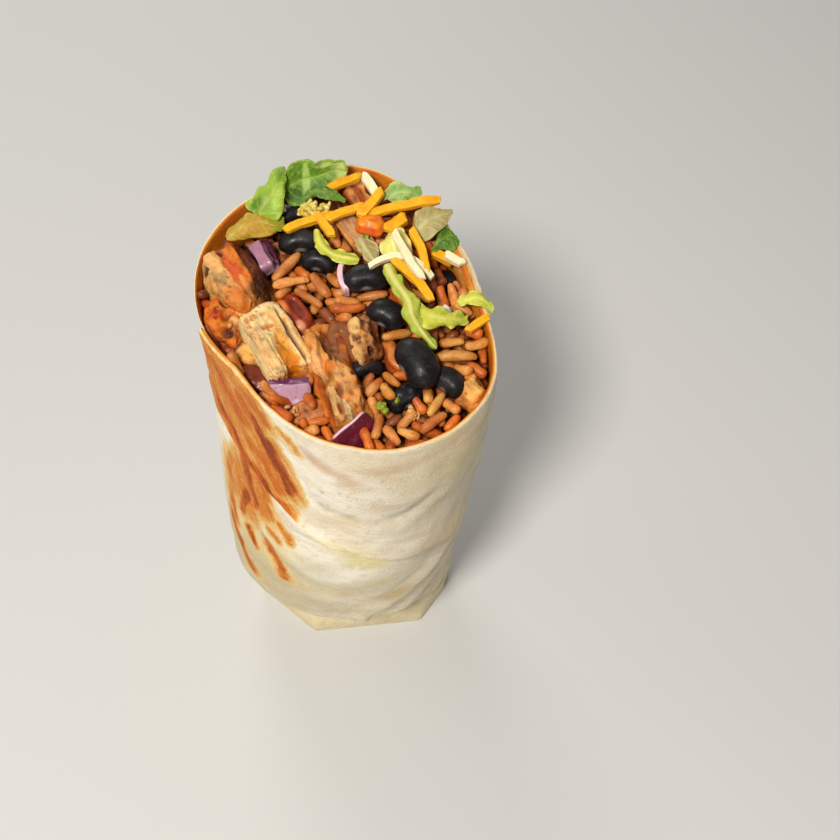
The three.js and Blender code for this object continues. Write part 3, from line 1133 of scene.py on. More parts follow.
@dataclass(frozen=True)
class Fold:
    """A soft ridge of the wall, or a crease if its push is below zero."""

    push: float
    width: float
    line: tuple[tuple[float, float], ...]
    lean: float = 0.0

    def shape(self, around: Array, height: Array) -> Array:
        """How far the fold pushes the wall out, steeper below its line if it leans.

        Args:
            around: Way round the wall in millimetres.
            height: Height on the wall in millimetres.

        Returns:
            The push in millimetres.
        """
        distance = line_distance(around, height, self.line)
        steep = np.where(distance < 0, 1.0 + self.lean, 1.0)
        return self.push * (1.0 - rise(np.abs(distance) * steep, 0.0, self.width))


FLAP_STREAKS = (
    Streak(3.6, 0.62, ((0.527, 0.985), (0.545, 0.80))),
    Streak(3.6, 0.74, ((0.545, 0.82), (0.59, 0.765), (0.625, 0.752))),
    Streak(2.4, 1.0, ((0.615, 0.758), (0.65, 0.722), (0.672, 0.698)), 2.0),
    Streak(4.2, 0.70, ((0.54, 0.96), (0.57, 0.90), (0.60, 0.865))),
    Streak(4.4, 0.88, ((0.594, 0.935), (0.62, 0.90), (0.655, 0.83))),
    Streak(3.6, 0.92, ((0.648, 0.87), (0.668, 0.81), (0.679, 0.77))),
    Streak(3.4, 0.62, ((0.60, 0.975), (0.645, 0.945))),
    Streak(3.4, 0.7, ((0.61, 0.82), (0.64, 0.79), (0.662, 0.745))),
    Streak(2.0, 0.36, ((0.679, 0.945), (0.688, 0.925)), 2.0),
    Streak(1.7, 0.42, ((0.664, 0.955), (0.676, 0.935)), 2.0),
    Streak(1.5, 0.5, ((0.679, 0.706), (0.683, 0.69)), 1.6),
)
LAYER_STREAKS = (
    Streak(3.4, 0.95, ((0.572, 0.75), (0.598, 0.65), (0.612, 0.60))),
    Streak(2.4, 0.75, ((0.592, 0.61), (0.588, 0.53))),
    Streak(3.4, 0.52, ((0.549, 0.64), (0.558, 0.49))),
    Streak(5.0, 0.5, ((0.585, 0.70), (0.635, 0.61))),
    Streak(2.4, 0.72, ((0.612, 0.72), (0.635, 0.65)), 2.4),
    Streak(2.6, 0.8, ((0.556, 0.44), (0.575, 0.35), (0.592, 0.285))),
    Streak(1.6, 0.9, ((0.60, 0.485), (0.614, 0.45)), 1.6),
    Streak(2.0, 0.6, ((0.636, 0.505), (0.652, 0.45), (0.662, 0.385)), 2.2),
    Streak(1.3, 0.55, ((0.660, 0.59), (0.677, 0.57)), 1.4),
    Streak(2.2, 0.55, ((0.556, 0.53), (0.572, 0.45)), 2.4),
    Streak(1.6, 0.45, ((0.640, 0.562), (0.655, 0.55)), 1.8),
    Streak(1.4, 0.62, ((0.655, 0.60), (0.672, 0.583)), 1.6),
)
BACK_STREAKS = (
    Streak(2.6, 0.42, ((0.19, 0.74), (0.205, 0.68)), 5.0),
    Streak(2.0, 0.34, ((0.225, 0.63), (0.235, 0.59)), 4.0),
    Streak(1.6, 0.3, ((0.25, 0.70), (0.262, 0.68)), 4.0),
    Streak(2.2, 0.4, ((0.30, 0.42), (0.312, 0.37)), 5.0),
    Streak(1.4, 0.3, ((0.335, 0.33), (0.34, 0.31)), 4.0),
    Streak(3.4, 0.5, ((0.405, 0.84), (0.425, 0.79)), 6.0),
    Streak(2.4, 0.42, ((0.43, 0.71), (0.437, 0.68)), 5.0),
    Streak(1.8, 0.4, ((0.455, 0.60), (0.46, 0.57)), 4.0),
    Streak(1.6, 0.3, ((0.37, 0.76), (0.376, 0.74)), 4.0),
    Streak(2.0, 0.32, ((0.12, 0.36), (0.13, 0.32)), 5.0),
    Streak(1.6, 0.34, ((0.03, 0.86), (0.04, 0.83)), 4.0),
    Streak(1.2, 0.3, ((0.08, 0.60), (0.085, 0.58)), 3.0),
    Streak(1.2, 0.3, ((0.34, 0.56), (0.344, 0.55)), 3.0),
)
FOLDS = (
    Fold(
        1.7, 9.0,
        (
            (0.676, 0.641), (0.715, 0.641), (0.75, 0.653), (0.787, 0.605), (0.833, 0.585),
            (0.902, 0.529),
        ), 1.5,
    ), Fold(-0.6, 3.4, ((0.712, 0.79), (0.73, 0.765), (0.755, 0.745), (0.78, 0.74))),
    Fold(-1.2, 5.0, ((0.805, 0.755), (0.825, 0.775), (0.845, 0.79))),
    Fold(-0.8, 9.0, ((0.85, 0.72), (0.93, 0.64))),
    Fold(0.7, 12.0, ((0.70, 0.50), (0.742, 0.46), (0.80, 0.43)), 0.6),
    Fold(1.1, 7.0, ((0.78, 0.21), (0.84, 0.33), (0.90, 0.47)), 1.2),
    Fold(0.8, 6.0, ((0.84, 0.17), (0.89, 0.28), (0.94, 0.40)), 0.8),
    Fold(-0.6, 6.0, ((0.62, 0.50), (0.68, 0.42), (0.72, 0.38))),
    Fold(0.6, 5.0, ((0.87, 0.92), (0.92, 0.80), (0.95, 0.62)), 0.6),
    Fold(0.7, 9.0, ((0.08, 0.62), (0.18, 0.52), (0.28, 0.50)), 1.0),
    Fold(-0.6, 9.0, ((0.28, 0.80), (0.38, 0.70), (0.43, 0.58))),
    Fold(0.6, 7.0, ((0.10, 0.30), (0.20, 0.26), (0.30, 0.32)), 0.8),
    Fold(-0.7, 6.0, ((0.02, 0.50), (0.10, 0.42), (0.16, 0.40))),
)
# Small holes, painted as dark dots of shade; the mesh has no opening there.
HOLES = ((0.722, 0.83), (0.728, 0.785), (0.788, 0.905), (0.742, 0.845), (0.31, 0.66))
TOAST_EDGE = ((0.70, 0.672), (0.77, 0.682), (0.86, 0.66), (0.93, 0.655), (1.0, 0.648))


@dataclass(frozen=True)
class Stain:
    """A soft blotch on the wall, most of the bread's own tint and some painted shade: where it
    lies, how far it reaches, and its tint and strength.
    """

    turn: float
    level: float
    wide: float
    high: float
    tint: Colour
    share: float
    slant_deg: float = 20.0

    def weight(self, around: Array, height: Array) -> Array:
        """How strong the blotch is at each place of the unrolled wall.

        Args:
            around: Way round the wall in millimetres.
            height: Height on the wall in millimetres.

        Returns:
            The strength, from 0 to the blotch's share.
        """
        slant = math.radians(self.slant_deg)
        x, y = around - self.turn * MEAN_GIRTH, height - self.level * CUT_HEIGHT
        along = (x * math.cos(slant) + y * math.sin(slant)) / self.wide
        across = (y * math.cos(slant) - x * math.sin(slant)) / self.high
        return self.share * (1.0 - rise(np.hypot(along, across), 0.2, 1.0))


PINKISH = rgb(206, 168, 134)
# Grey of the painted shade along the creases of the front.
CREASE_SHADE = rgb(128, 112, 94)
BUTTERY = rgb(240, 224, 160)
SAGE = rgb(204, 192, 146)
BISCUIT = rgb(200, 172, 118)
STAINS = (
    Stain(0.712, 0.932, 7.0, 3.4, PINKISH, 0.6, -30.0),
    Stain(0.733, 0.914, 8.0, 3.0, PINKISH, 0.6, -20.0),
    Stain(0.752, 0.885, 5.0, 2.6, PINKISH, 0.5),
    Stain(0.800, 0.940, 14.0, 3.2, PINKISH, 0.42, 8.0),
    Stain(0.862, 0.950, 9.0, 4.0, PINKISH, 0.35),
    # Painted shade: grey blotches along the creases and the dent of the front.
    Stain(0.825, 0.782, 5.0, 2.2, CREASE_SHADE, 0.55, 30.0),
    Stain(0.806, 0.762, 4.0, 1.6, CREASE_SHADE, 0.35, 10.0),
    Stain(0.721, 0.775, 4.4, 1.8, CREASE_SHADE, 0.28, -30.0),
    Stain(0.742, 0.630, 13.0, 7.0, BUTTERY, 0.75, -8.0),
    Stain(0.772, 0.560, 10.0, 6.0, BUTTERY, 0.75, -8.0),
    Stain(0.794, 0.455, 12.0, 6.0, SAGE, 0.6),
    Stain(0.710, 0.520, 9.0, 5.0, SAGE, 0.5, -20.0),
    # Darker blotches on the front right: partly the bread's own tint, partly painted shade on the
    # right of the wall.
    Stain(0.822, 0.351, 8.0, 5.0, BISCUIT, 0.65, 30.0),
    Stain(0.871, 0.347, 9.0, 6.0, BISCUIT, 0.6, 30.0),
    Stain(0.862, 0.760, 16.0, 12.0, SAGE, 0.4, 40.0),
    Stain(0.880, 0.560, 14.0, 12.0, BISCUIT, 0.4, 40.0),
    Stain(0.806, 0.042, 2.6, 1.8, rgb(206, 150, 96), 0.5),
    Stain(0.880, 0.086, 5.0, 3.0, rgb(206, 160, 104), 0.5),
    Stain(0.690, 0.300, 8.0, 5.0, SAGE, 0.4),
    Stain(0.150, 0.800, 14.0, 9.0, BISCUIT, 0.4),
    Stain(0.330, 0.600, 16.0, 8.0, SAGE, 0.45),
    Stain(0.250, 0.350, 14.0, 8.0, BUTTERY, 0.6),
)


class Rows:
    """The rows of the wrap's sheet, from the middle of its foot to the middle of its floor."""

    def __init__(self, columns: int) -> None:
        """Starts without rows.

        Args:
            columns: How many places each row has.
        """
        self.columns = columns
        self.rows: list[tuple[Array, ...]] = []

    def add(self, places: Array, turn: Array, level: Array | float, inside: float = 0.0,
            rim: float = 0.0) -> None:
        """Adds a row by its places, directions and levels, inside and cut edge counting as 1."""
        flat = (np.broadcast_to(value, self.columns) for value in (turn, level, inside, rim))
        self.rows.append((places, *flat))

    def grids(self) -> list[Array]:
        """The places, directions, levels, insides and rims by column and row."""
        return [np.stack(kind, axis=1) for kind in zip(*self.rows)]


@dataclass
class Wrap:
    """The tortilla: a wall of one or two layers, its flap, its cut rim and its folded end."""

    columns_front: int = 240
    columns_back: int = 110
    rows_under: int = 134
    rows_flap: int = 48
    rows_inside: int = 24
    inside_depth: float = 17.0
    corner_rise: float = 0.07
    corner_turn: float = 0.009
    lip: tuple[tuple[float, float], ...] = ((-0.15, 1.0), (-0.05, 0.85), (0.0, 0.3), (0.2, 0.06))
    lip_swell: float = 0.3
    tuck: float = 0.5
    rim_round: float = 0.4
    rim_rows: tuple[tuple[float, float, float], ...] = (
        (0.1, 0.1, 0.0), (0.28, 0.0, 0.0), (0.46, 0.0, 0.0), (0.54, 0.0, 0.5), (0.62, 0.0, 0.0),
        (0.8, 0.1, 0.0), (0.95, 0.3, 0.0),
    )
    lumps: float = 0.55
    dimples: float = 0.26
    puckers: float = 0.12
    line_push: float = 0.05
    line_slant: float = 0.3
    pleats: float = 0.35
    pleat_count: float = 23.0
    bulge_level: float = 0.165
    pinch: float = 1.2
    inner_lumps: float = 0.25
    rim_waves: tuple[float, float] = (0.34, 0.2)
    flap_toast: float = 0.46
    layer_toast: float = 0.42
    toast_drift: float = 1.7
    toast_slant_deg: float = 48.0

    def flap_level(self, turn: Array) -> Array:
        """Level of the flap's lower edge, and of the row of the mesh that goes on from it.

        Args:
            turn: Directions in turns.

        Returns:
            The levels.
        """
        past = past_flap(turn)
        ahead = np.clip(past, 0.0, FLAP_FADE[1])
        edge = FLAP_CORNER - (FLAP_FALL + FLAP_DROOP * ahead) * ahead
        edge = edge + self.corner_rise * np.exp(-ahead / self.corner_turn)
        start = FLAP_CORNER + self.corner_rise
        return lerp(edge, start, rise(past, FLAP_FADE[1], 0.5) * (past > 0))

    def fade(self, turn: Array) -> Array:
        """How much of the flap's step is left in each direction."""
        return 1.0 - rise(past_flap(turn), *FLAP_FADE)

    def dip(self, turn: Array, level: Array) -> Array:
        """How far the layer under the flap lies inside the outline.

        Args:
            turn: Directions in turns.
            level: Levels of the wall.

        Returns:
            The dip.
        """
        past = past_flap(turn)
        below = np.maximum((self.flap_level(turn) - level) * CUT_HEIGHT, 0.0)
        away = np.where(past > 0, below, np.hypot(past * MEAN_GIRTH, below))
        return FLAP_STEP * self.fade(turn) * (1.0 - rise(away, 0.0, FLAP_REACH))

    def directions(self) -> Array:
        """Directions of the mesh's columns, closer together on the front and left.

        Returns:
            The directions in turns, from just before the flap's edge and once round.
        """
        front = np.linspace(0.0, 0.5, self.columns_front)
        back = np.linspace(0.5, 1.0, self.columns_back + 1)[1:]
        spread = np.concatenate([front, back])
        start = np.array([offset for offset, _ in self.lip]) / MEAN_GIRTH
        end = 1.0 + start[0] * np.array([3.0, 2.0, 1.0])
        inner = spread[(spread > start[-1] * 3.0) & (spread < 1.0 + start[0] * 4.0)]
        return FLAP_TURN + np.concatenate([start, inner, end])

    def build(self) -> bpy.types.Object:
        """Makes the whole tortilla.

        Returns:
            The piece.
        """
        turn = self.directions()
        rows = Rows(len(turn))
        edge = self.flap_level(turn)
        flap_on = self.fade(turn) * (past_flap(turn) > -0.1 / MEAN_GIRTH)
        upright = np.zeros(len(turn))
        upright[:len(self.lip)] = [share for _, share in self.lip]
        left = np.where(flap_on > 0, upright, 1.0)
        for share in (0.0, 0.5, 0.85, 0.985):
            rows.add(on_disc(turn, 0.0, share, 0.0, 0.0), turn, 0.0)
        for s in np.linspace(0.012, 1.0, self.rows_under):
            level = s * (edge - 0.35 / CUT_HEIGHT)
            rows.add(on_wrap(turn, level, self.dip(turn, level)), turn, level)
        calm = -0.25
        for offset, (_, share) in zip((self.tuck, 0.0, 0.06, 0.25), self.lip):
            level = edge + lerp(calm, offset, np.minimum(flap_on * 1.5, 1.0)) / CUT_HEIGHT
            calm += 0.12
            under = self.dip(turn, np.minimum(level, edge - 1e-4))
            under = under * np.where(flap_on > 0, np.maximum(share, upright), 1.0)
            rows.add(on_wrap(turn, level, under), turn, level)
        tucked = turn.copy()
        tucked[0] = FLAP_TURN + self.tuck / MEAN_GIRTH
        tucked[-1] = tucked[0] + 1.0
        for s in np.linspace(0.0, 1.0, self.rows_flap) ** 1.15:
            level = lerp(edge + 0.5 / CUT_HEIGHT, 1.0 - self.rim_round / CUT_HEIGHT, s)
            bent = lerp(turn, tucked, min(s * 8.0, 1.0))
            swell = self.lip_swell * flap_on * (1.0 - rise((level - edge) * CUT_HEIGHT, 0.6, 3.0))
            rows.add(on_wrap(bent, level, self.dip(turn, level) * left - swell), bent, level)
        self.add_rim_and_inside(turn, tucked, left, rows)
        grid, turns, levels, inside, rim = rows.grids()
        grid = self.sculpt(grid, turns, levels, inside)
        piece = turned("wrap", grid)
        self.dress(piece, grid, turns, levels, inside, rim)
        tidy(piece, 60.0)
        return piece

    def add_rim_and_inside(self, turn: Array, tucked: Array, left: Array, rows: Rows) -> None:
        """Adds the rows over the cut rim, down the inside and across the floor.

        Args:
            turn: Directions of the columns.
            tucked: Directions with the ends tucked under the flap.
            left: How much of the step is left on each column.
            rows: Takes the rows.
        """
        one = np.ones(len(turn))
        under = self.dip(turn, one) * left
        inner = wall_inside(turn, one)
        seam = np.maximum(near_end(turn), 1.0 - rise(np.abs(past_flap(turn) + 0.02), 0.02, 0.09))
        for share, drop, slit in self.rim_rows:
            bent = lerp(tucked, turn, share)
            at = on_wrap(bent, one, lerp(under, inner, share))
            at[:, 2] -= drop + slit * seam
            rows.add(at, bent, one, share * 0.5, 1.0)
        lowest = 1.0 - self.inside_depth / CUT_HEIGHT
        near = np.linspace(1.0 - 2.0 * self.rim_round / CUT_HEIGHT, lowest, self.rows_inside)
        for level in [*near, *np.linspace(lowest, 0.2, 6)[1:]]:
            rows.add(on_wrap(turn, level * one, wall_inside(turn, level * one)), turn, level, 1.0)
        for share in (0.7, 0.0):
            level = FLOOR / CUT_HEIGHT
            rows.add(on_disc(turn, level, share, TORTILLA, FLOOR), turn, level, 1.0)

    def sculpt(self, grid: Array, turn: Array, level: Array, inside: Array) -> Array:
        """Lumps, wrinkles, dents and the pinched folds of the folded end.

        Args:
            grid: Places by column and row.
            turn: Directions by column and row.
            level: Levels by column and row.
            inside: 0 on the outside and 1 on the inside.

        Returns:
            The new places.
        """
        angle = turn * 2.0 * math.pi
        height = level * CUT_HEIGHT
        outward = np.stack([np.cos(angle), np.sin(angle), 0.0 * angle], axis=-1)
        drum = on_drum(angle, height)
        free = rise(level, 0.02, 0.12) * (1.0 - 0.8 * rise(level, 0.95, 1.0))
        push = self.lumps * layered(drum, (16.0, 16.0, 22.0), 3, 11) * free
        around = turn * MEAN_GIRTH
        slant = on_drum(angle, height + self.line_slant * around)
        lines = 1.0 - np.abs(layered(slant, (26.0, 26.0, 4.2), 2, 21)) * 3.0
        calm = rise(np.minimum(turn - turn.min(), turn.max() - turn) * MEAN_GIRTH, 0.2, 7.0)
        strength = rise(noise(drum, 15.0, 23), -0.35, 0.6)
        push += self.line_push * np.clip(lines, -0.6, 1.0) * free * strength * calm
        push += self.dimples * layered(drum, 6.5, 3, 27) * free
        uneven = lerp(0.7, 1.1, rise(noise(drum, 12.0, 25), -0.6, 0.6))
        for fold in FOLDS:
            push += fold.shape(around, height) * free * calm * uneven
        push += self.puckers * layered(drum, 2.6, 2, 31) * rise(level, 0.01, 0.05)
        pleats = np.sin(angle * self.pleat_count + 3.0 * noise(drum, 11.0, 33))
        push += self.pleats * pleats * np.exp(-(((level - 0.10) / 0.05) ** 2))
        crease = 0.088 + 0.012 * noise(drum, 14.0, 35)
        ahead = lerp(1.0, 0.35, rise(np.sin(angle), -0.4, 0.4))
        push += ahead * np.exp(-(((level - self.bulge_level) / 0.045) ** 2))
        push -= self.pinch * ahead * np.exp(-(((level - crease) / 0.015) ** 2))
        inner = self.inner_lumps * layered(drum, 8.0, 2, 41) * free
        moved = lerp(push * rise(level, 0.0, 0.01), inner, np.minimum(inside * 1.6, 1.0))
        grid = grid + outward * moved[..., None]
        broad, small = self.rim_waves
        wave = broad * noise(drum, 9.0, 51) + small * noise(drum, 2.2, 52)
        grid[..., 2] += wave * rise(level, 0.985, 1.0)
        return grid

    def dress(self, piece: bpy.types.Object, grid: Array, turn: Array, level: Array, inside: Array,
              rim: Array) -> None:
        """Paints bread, toast and oil, each but the toast with some painted shade, and stores the
        unrolled wall for fine grain.

        Args:
            piece: The sheet, still unmerged.
            grid: Places by column and row.
            turn: Directions by column and row.
            level: Levels by column and row.
            inside: 0 on the outside and 1 on the inside.
            rim: 1 on the cut edge.
        """
        around, height = turn * MEAN_GIRTH, level * CUT_HEIGHT
        swirl = np.stack([around, height, 0.0 * height], axis=-1)
        wobble, drift = (self.toast_drift * layered(swirl, 5.0, 4, seed) for seed in (61, 71))
        on_flap = (level > self.flap_level(turn)) & (past_flap(turn) > -0.001)
        toast = np.zeros(level.shape)
        for streaks, where in ((FLAP_STREAKS, on_flap), (LAYER_STREAKS + BACK_STREAKS, ~on_flap)):
            for streak in streaks:
                mark = streak.mark(around + wobble, height + drift)
                toast = np.where(where, np.maximum(toast, mark), toast)
        slant = swirl @ rotation(2, self.toast_slant_deg).T
        banding = layered(slant, (15.0, 2.4, 9.0), 3, 81)
        levels, turns = zip(*TOAST_EDGE)
        past_edge = around - np.interp(level, levels, turns) * MEAN_GIRTH + 1.6 * wobble
        past_edge = past_edge + 3.0 * layered(slant, (12.0, 3.0, 9.0), 2, 85)
        wash = self.flap_toast * (1.0 - rise(past_edge, -3.5, 1.0))
        toast = np.where(on_flap, np.maximum(toast, wash), toast)
        below = (height - 0.5 * CUT_HEIGHT) / (0.3 * CUT_HEIGHT)
        apart = np.abs(around - (0.582 + 0.02 * below) * MEAN_GIRTH + wobble) / (0.05 * MEAN_GIRTH)
        wash = self.layer_toast * (1.0 - rise(apart, 0.5, 1.1)) * rise(level, 0.44, 0.6)
        toast = np.where(on_flap | (past_flap(turn) < 0.0), toast, np.maximum(toast, wash))
        fine = layered(slant, (6.0, 1.0, 9.0), 2, 87)
        toast = toast * np.clip(0.95 + 0.42 * banding + 0.3 * fine, 0.3, 1.2)
        toast = np.maximum(toast, rise(layered(swirl, (9.0, 7.0, 9.0), 3, 91), 0.36, 0.8) * 0.11)
        toast = np.where(inside < 0.3, toast, 0.0) * (1.0 - rim * 0.6)
        bread = self.bread(around, height, level)
        end = near_end(turn)
        edge = np.stack([around, inside * 6.0, 0.0 * around], axis=-1)
        strands = layered(edge, (7.0, 0.7, 1.0), 2, 95)
        crumb = mixed(rgb(232, 202, 148), rgb(188, 130, 70), end * rise(strands, -0.6, 0.5) * 0.9)
        bread = mixed(bread, crumb, rim * rise(inside, 0.02, 0.2))
        down = cut_height(grid[..., 0], grid[..., 1]) - grid[..., 2]
        # Deeper below the cut the inside is painted darker: partly oil, partly painted shade low in
        # the opening.
        soaked_and_shaded = 0.48 + 0.34 * layered(grid, 6.0, 3, 101) + 0.25 * rise(down, 2.0, 9.0) - 0.18 * end
        patchy = np.clip(0.6 + 0.6 * layered(grid, 5.0, 2, 111), 0.0, 1.0)
        rim_oil = rise(inside, 0.14, 0.46) * patchy
        oil = np.where(rim > 0, rim_oil * 0.9, np.where(inside > 0.9, soaked_and_shaded, 0.0))
        unrolled = (swirl + (0.0, 0.0, 1.0) * inside[..., None]) / UNROLLED_SIZE
        layers = (
            (TINT, bread),
            (TOAST, np.clip(toast, 0.0, 1.0)),
            (OIL_AND_SHADE, np.clip(oil, 0.0, 1.0)),
            (UNROLLED, unrolled),
        )
        for name, values in layers:
            paint(piece, name, by_sheet(piece, values))

    def bread(self, around: Array, height: Array, level: Array) -> Array:
        """Tints of the plain tortilla: cream, yellower low down, with stains, painted shade on the
        right, the lower left and along creases, and dark dots of painted shade at holes.

        Args:
            around: Way round the wall in millimetres.
            height: Height on the wall in millimetres.
            level: Levels by column and row.

        Returns:
            One colour for each place.
        """
        angle = around / MEAN_GIRTH * 2.0 * math.pi
        drum = on_drum(angle, height)
        marble = layered(drum + 4.0 * noise(drum, 14.0, 119)[..., None], (20.0, 20.0, 11.0), 4, 121)
        turn = around / MEAN_GIRTH
        # right and left weigh painted shade: darker tints on the wall's right side and on its lower
        # left, where less light falls.
        right, left = (np.cos((turn - side) * 2.0 * math.pi) for side in (0.93, 0.60))
        left = left * (1.0 - rise(level, 0.35, 0.7))
        washes = (
            (rgb(230, 212, 176), rise(marble, -0.15, 0.6)),
            (rgb(238, 220, 162), 0.7 * rise(layered(drum, (26.0, 26.0, 15.0), 3, 131), 0.0, 0.6)),
            (rgb(216, 194, 160), 0.6 * rise(layered(drum, (9.0, 9.0, 5.0), 4, 133), 0.0, 0.6)),
            # Painted shade on the right and on the lower left of the wall.
            (rgb(192, 170, 128), 0.4 * rise(right, 0.3, 1.0)),
            (rgb(190, 170, 128), 0.5 * rise(left, 0.4, 1.0)),
            (rgb(236, 218, 172), 0.6 * (1.0 - rise(level, 0.06, 0.13))),
            (rgb(222, 210, 172), 0.35 * (1.0 - rise(level, 0.2, 0.5))),
        )
        colour = rgb(249, 240, 222)
        for tint, share in washes:
            colour = mixed(colour, tint, share)
        rag = 1.0 + 0.5 * layered(drum, 5.0, 3, 137)
        for stain in STAINS:
            colour = mixed(colour, stain.tint, stain.weight(around, height) * rag)
        # Painted shade: a dark dot at each hole.
        for hole in HOLES:
            away = np.hypot(around - hole[0] * MEAN_GIRTH, height - hole[1] * CUT_HEIGHT)
            colour = mixed(colour, rgb(150, 132, 108), 0.6 * (1.0 - rise(away, 0.1, 0.6)))
        return colour


# ---------------------------------------------------------------------------------------------
# The filling: how pieces lie, and what keeps the rice out of them
# ---------------------------------------------------------------------------------------------
@dataclass(frozen=True)
class Lie:
    """How a piece lies in the sloping cut face, in degrees."""

    heading: float = 0.0
    roll: float = 0.0
    pitch: float = 0.0

    def matrix(self) -> Array:
        """The turn from the piece's own axes to the burrito's."""
        laid = rotation(0, CUT_SLOPE_DEG) @ rotation(2, self.heading)
        return laid @ rotation(1, -self.pitch) @ rotation(0, self.roll)


@dataclass
class Core:
    """A piece as the rice meets it: a rounded block."""

    middle: Array
    turn: Array
    half: Array

    def depth(self, places: Array, gap: float) -> tuple[Array, Array]:
        """How deep places are in the block, and the way out.

        Args:
            places: Places to test.
            gap: Space to keep round the block.

        Returns:
            The depth in millimetres, zero outside, and the direction out.
        """
        own = (places - self.middle) @ self.turn
        reach = self.half + gap
        share = np.sum(np.abs(own / reach) ** 3.0, axis=-1) ** (1.0 / 3.0) + 1e-6
        slope = np.sign(own) * np.abs(own / reach) ** 2.0 / reach
        away = slope @ self.turn.T
        away /= np.linalg.norm(away, axis=-1, keepdims=True) + 1e-9
        return np.clip(1.0 - share, 0.0, None) * reach.min(), away


def node_middle(node: str) -> Array:
    """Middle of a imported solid's box in millimetres."""
    low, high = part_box(node)
    return (np.array(low) + np.array(high)) * 0.5 / MM


def seat(piece: bpy.types.Object, node: str, lie: Lie, drop: float = 0.0,
         walled: bool = True) -> None:
    """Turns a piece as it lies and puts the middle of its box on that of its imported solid.

    Args:
        piece: The piece, made about the origin.
        node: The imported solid.
        lie: How it lies.
        drop: How far it sinks from there, back and down.
        walled: Whether the wall holds it in.
    """
    places = places_of(piece) @ lie.matrix().T
    middle = (places.min(axis=0) + places.max(axis=0)) * 0.5
    down = np.array((0.0, SINK_BACK, -1.0)) * drop
    placed = places - middle + node_middle(node) + down
    move_to(piece, keep_inside(placed) if walled else placed)


@dataclass(frozen=True)
class Sides:
    """Tints of a chunk's sides, as it lies: its left, its right, its top and its ends."""

    left: Colour
    right: Colour
    top: Colour
    ends: Colour | None = None

    def tint(self, facing: Array) -> Array:
        """Tints of a surface by the way it faces.

        Args:
            facing: Directions in the piece's own axes.

        Returns:
            One colour for each direction.
        """
        ends = self.ends or self.top
        weights = np.stack([
            np.clip(-facing[:, 1], 0.0, 1.0),
            np.clip(facing[:, 1], 0.0, 1.0),
            np.clip(facing[:, 2] * 1.1, 0.0, 1.0),
            np.abs(facing[:, 0]) * 0.8 + 0.05,
        ], axis=1) ** 2.4
        # A dark right tint, as on the first chicken chunk, stands partly for painted shade on the
        # side turned from the light.
        colours = np.array([self.left, self.right, self.top, ends])
        return weights @ colours / weights.sum(axis=1, keepdims=True)


@dataclass(frozen=True)
class Patch:
    """A patch on a piece's top, in shares of its half sizes, with its tint and its lift."""

    x: float
    y: float
    wide: float
    high: float
    tint: Colour | None = None
    lift: float = 0.0
    share: float = 0.9

    def weight(self, unit: Array, jitter: Array) -> Array:
        """How much of the patch lies at places in shares of a piece's half sizes."""
        x, y = (unit[:, 0] - self.x) / self.wide, (unit[:, 1] - self.y) / self.high
        return (1.0 - rise(np.hypot(x, y) + 0.3 * jitter, 0.6, 1.05)) * rise(unit[:, 2], -0.4, 0.2)


@dataclass(frozen=True)
class Blotches:
    """Blotches scattered over a piece: their tint, their size and how much they cover."""

    tint: Colour
    size: float
    cover: float
    share: float = 0.8


@dataclass(frozen=True, kw_only=True)
class Piece:
    """One piece of the filling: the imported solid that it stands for, and its own name."""

    node: str = ""
    name: str = ""

    def core(self) -> Core | None:
        """The piece as the rice meets it, or nothing if the rice need not mind it."""
        return None

    def shape(self) -> bpy.types.Object:
        """Makes the piece where it lies, with its tints."""
        raise NotImplementedError


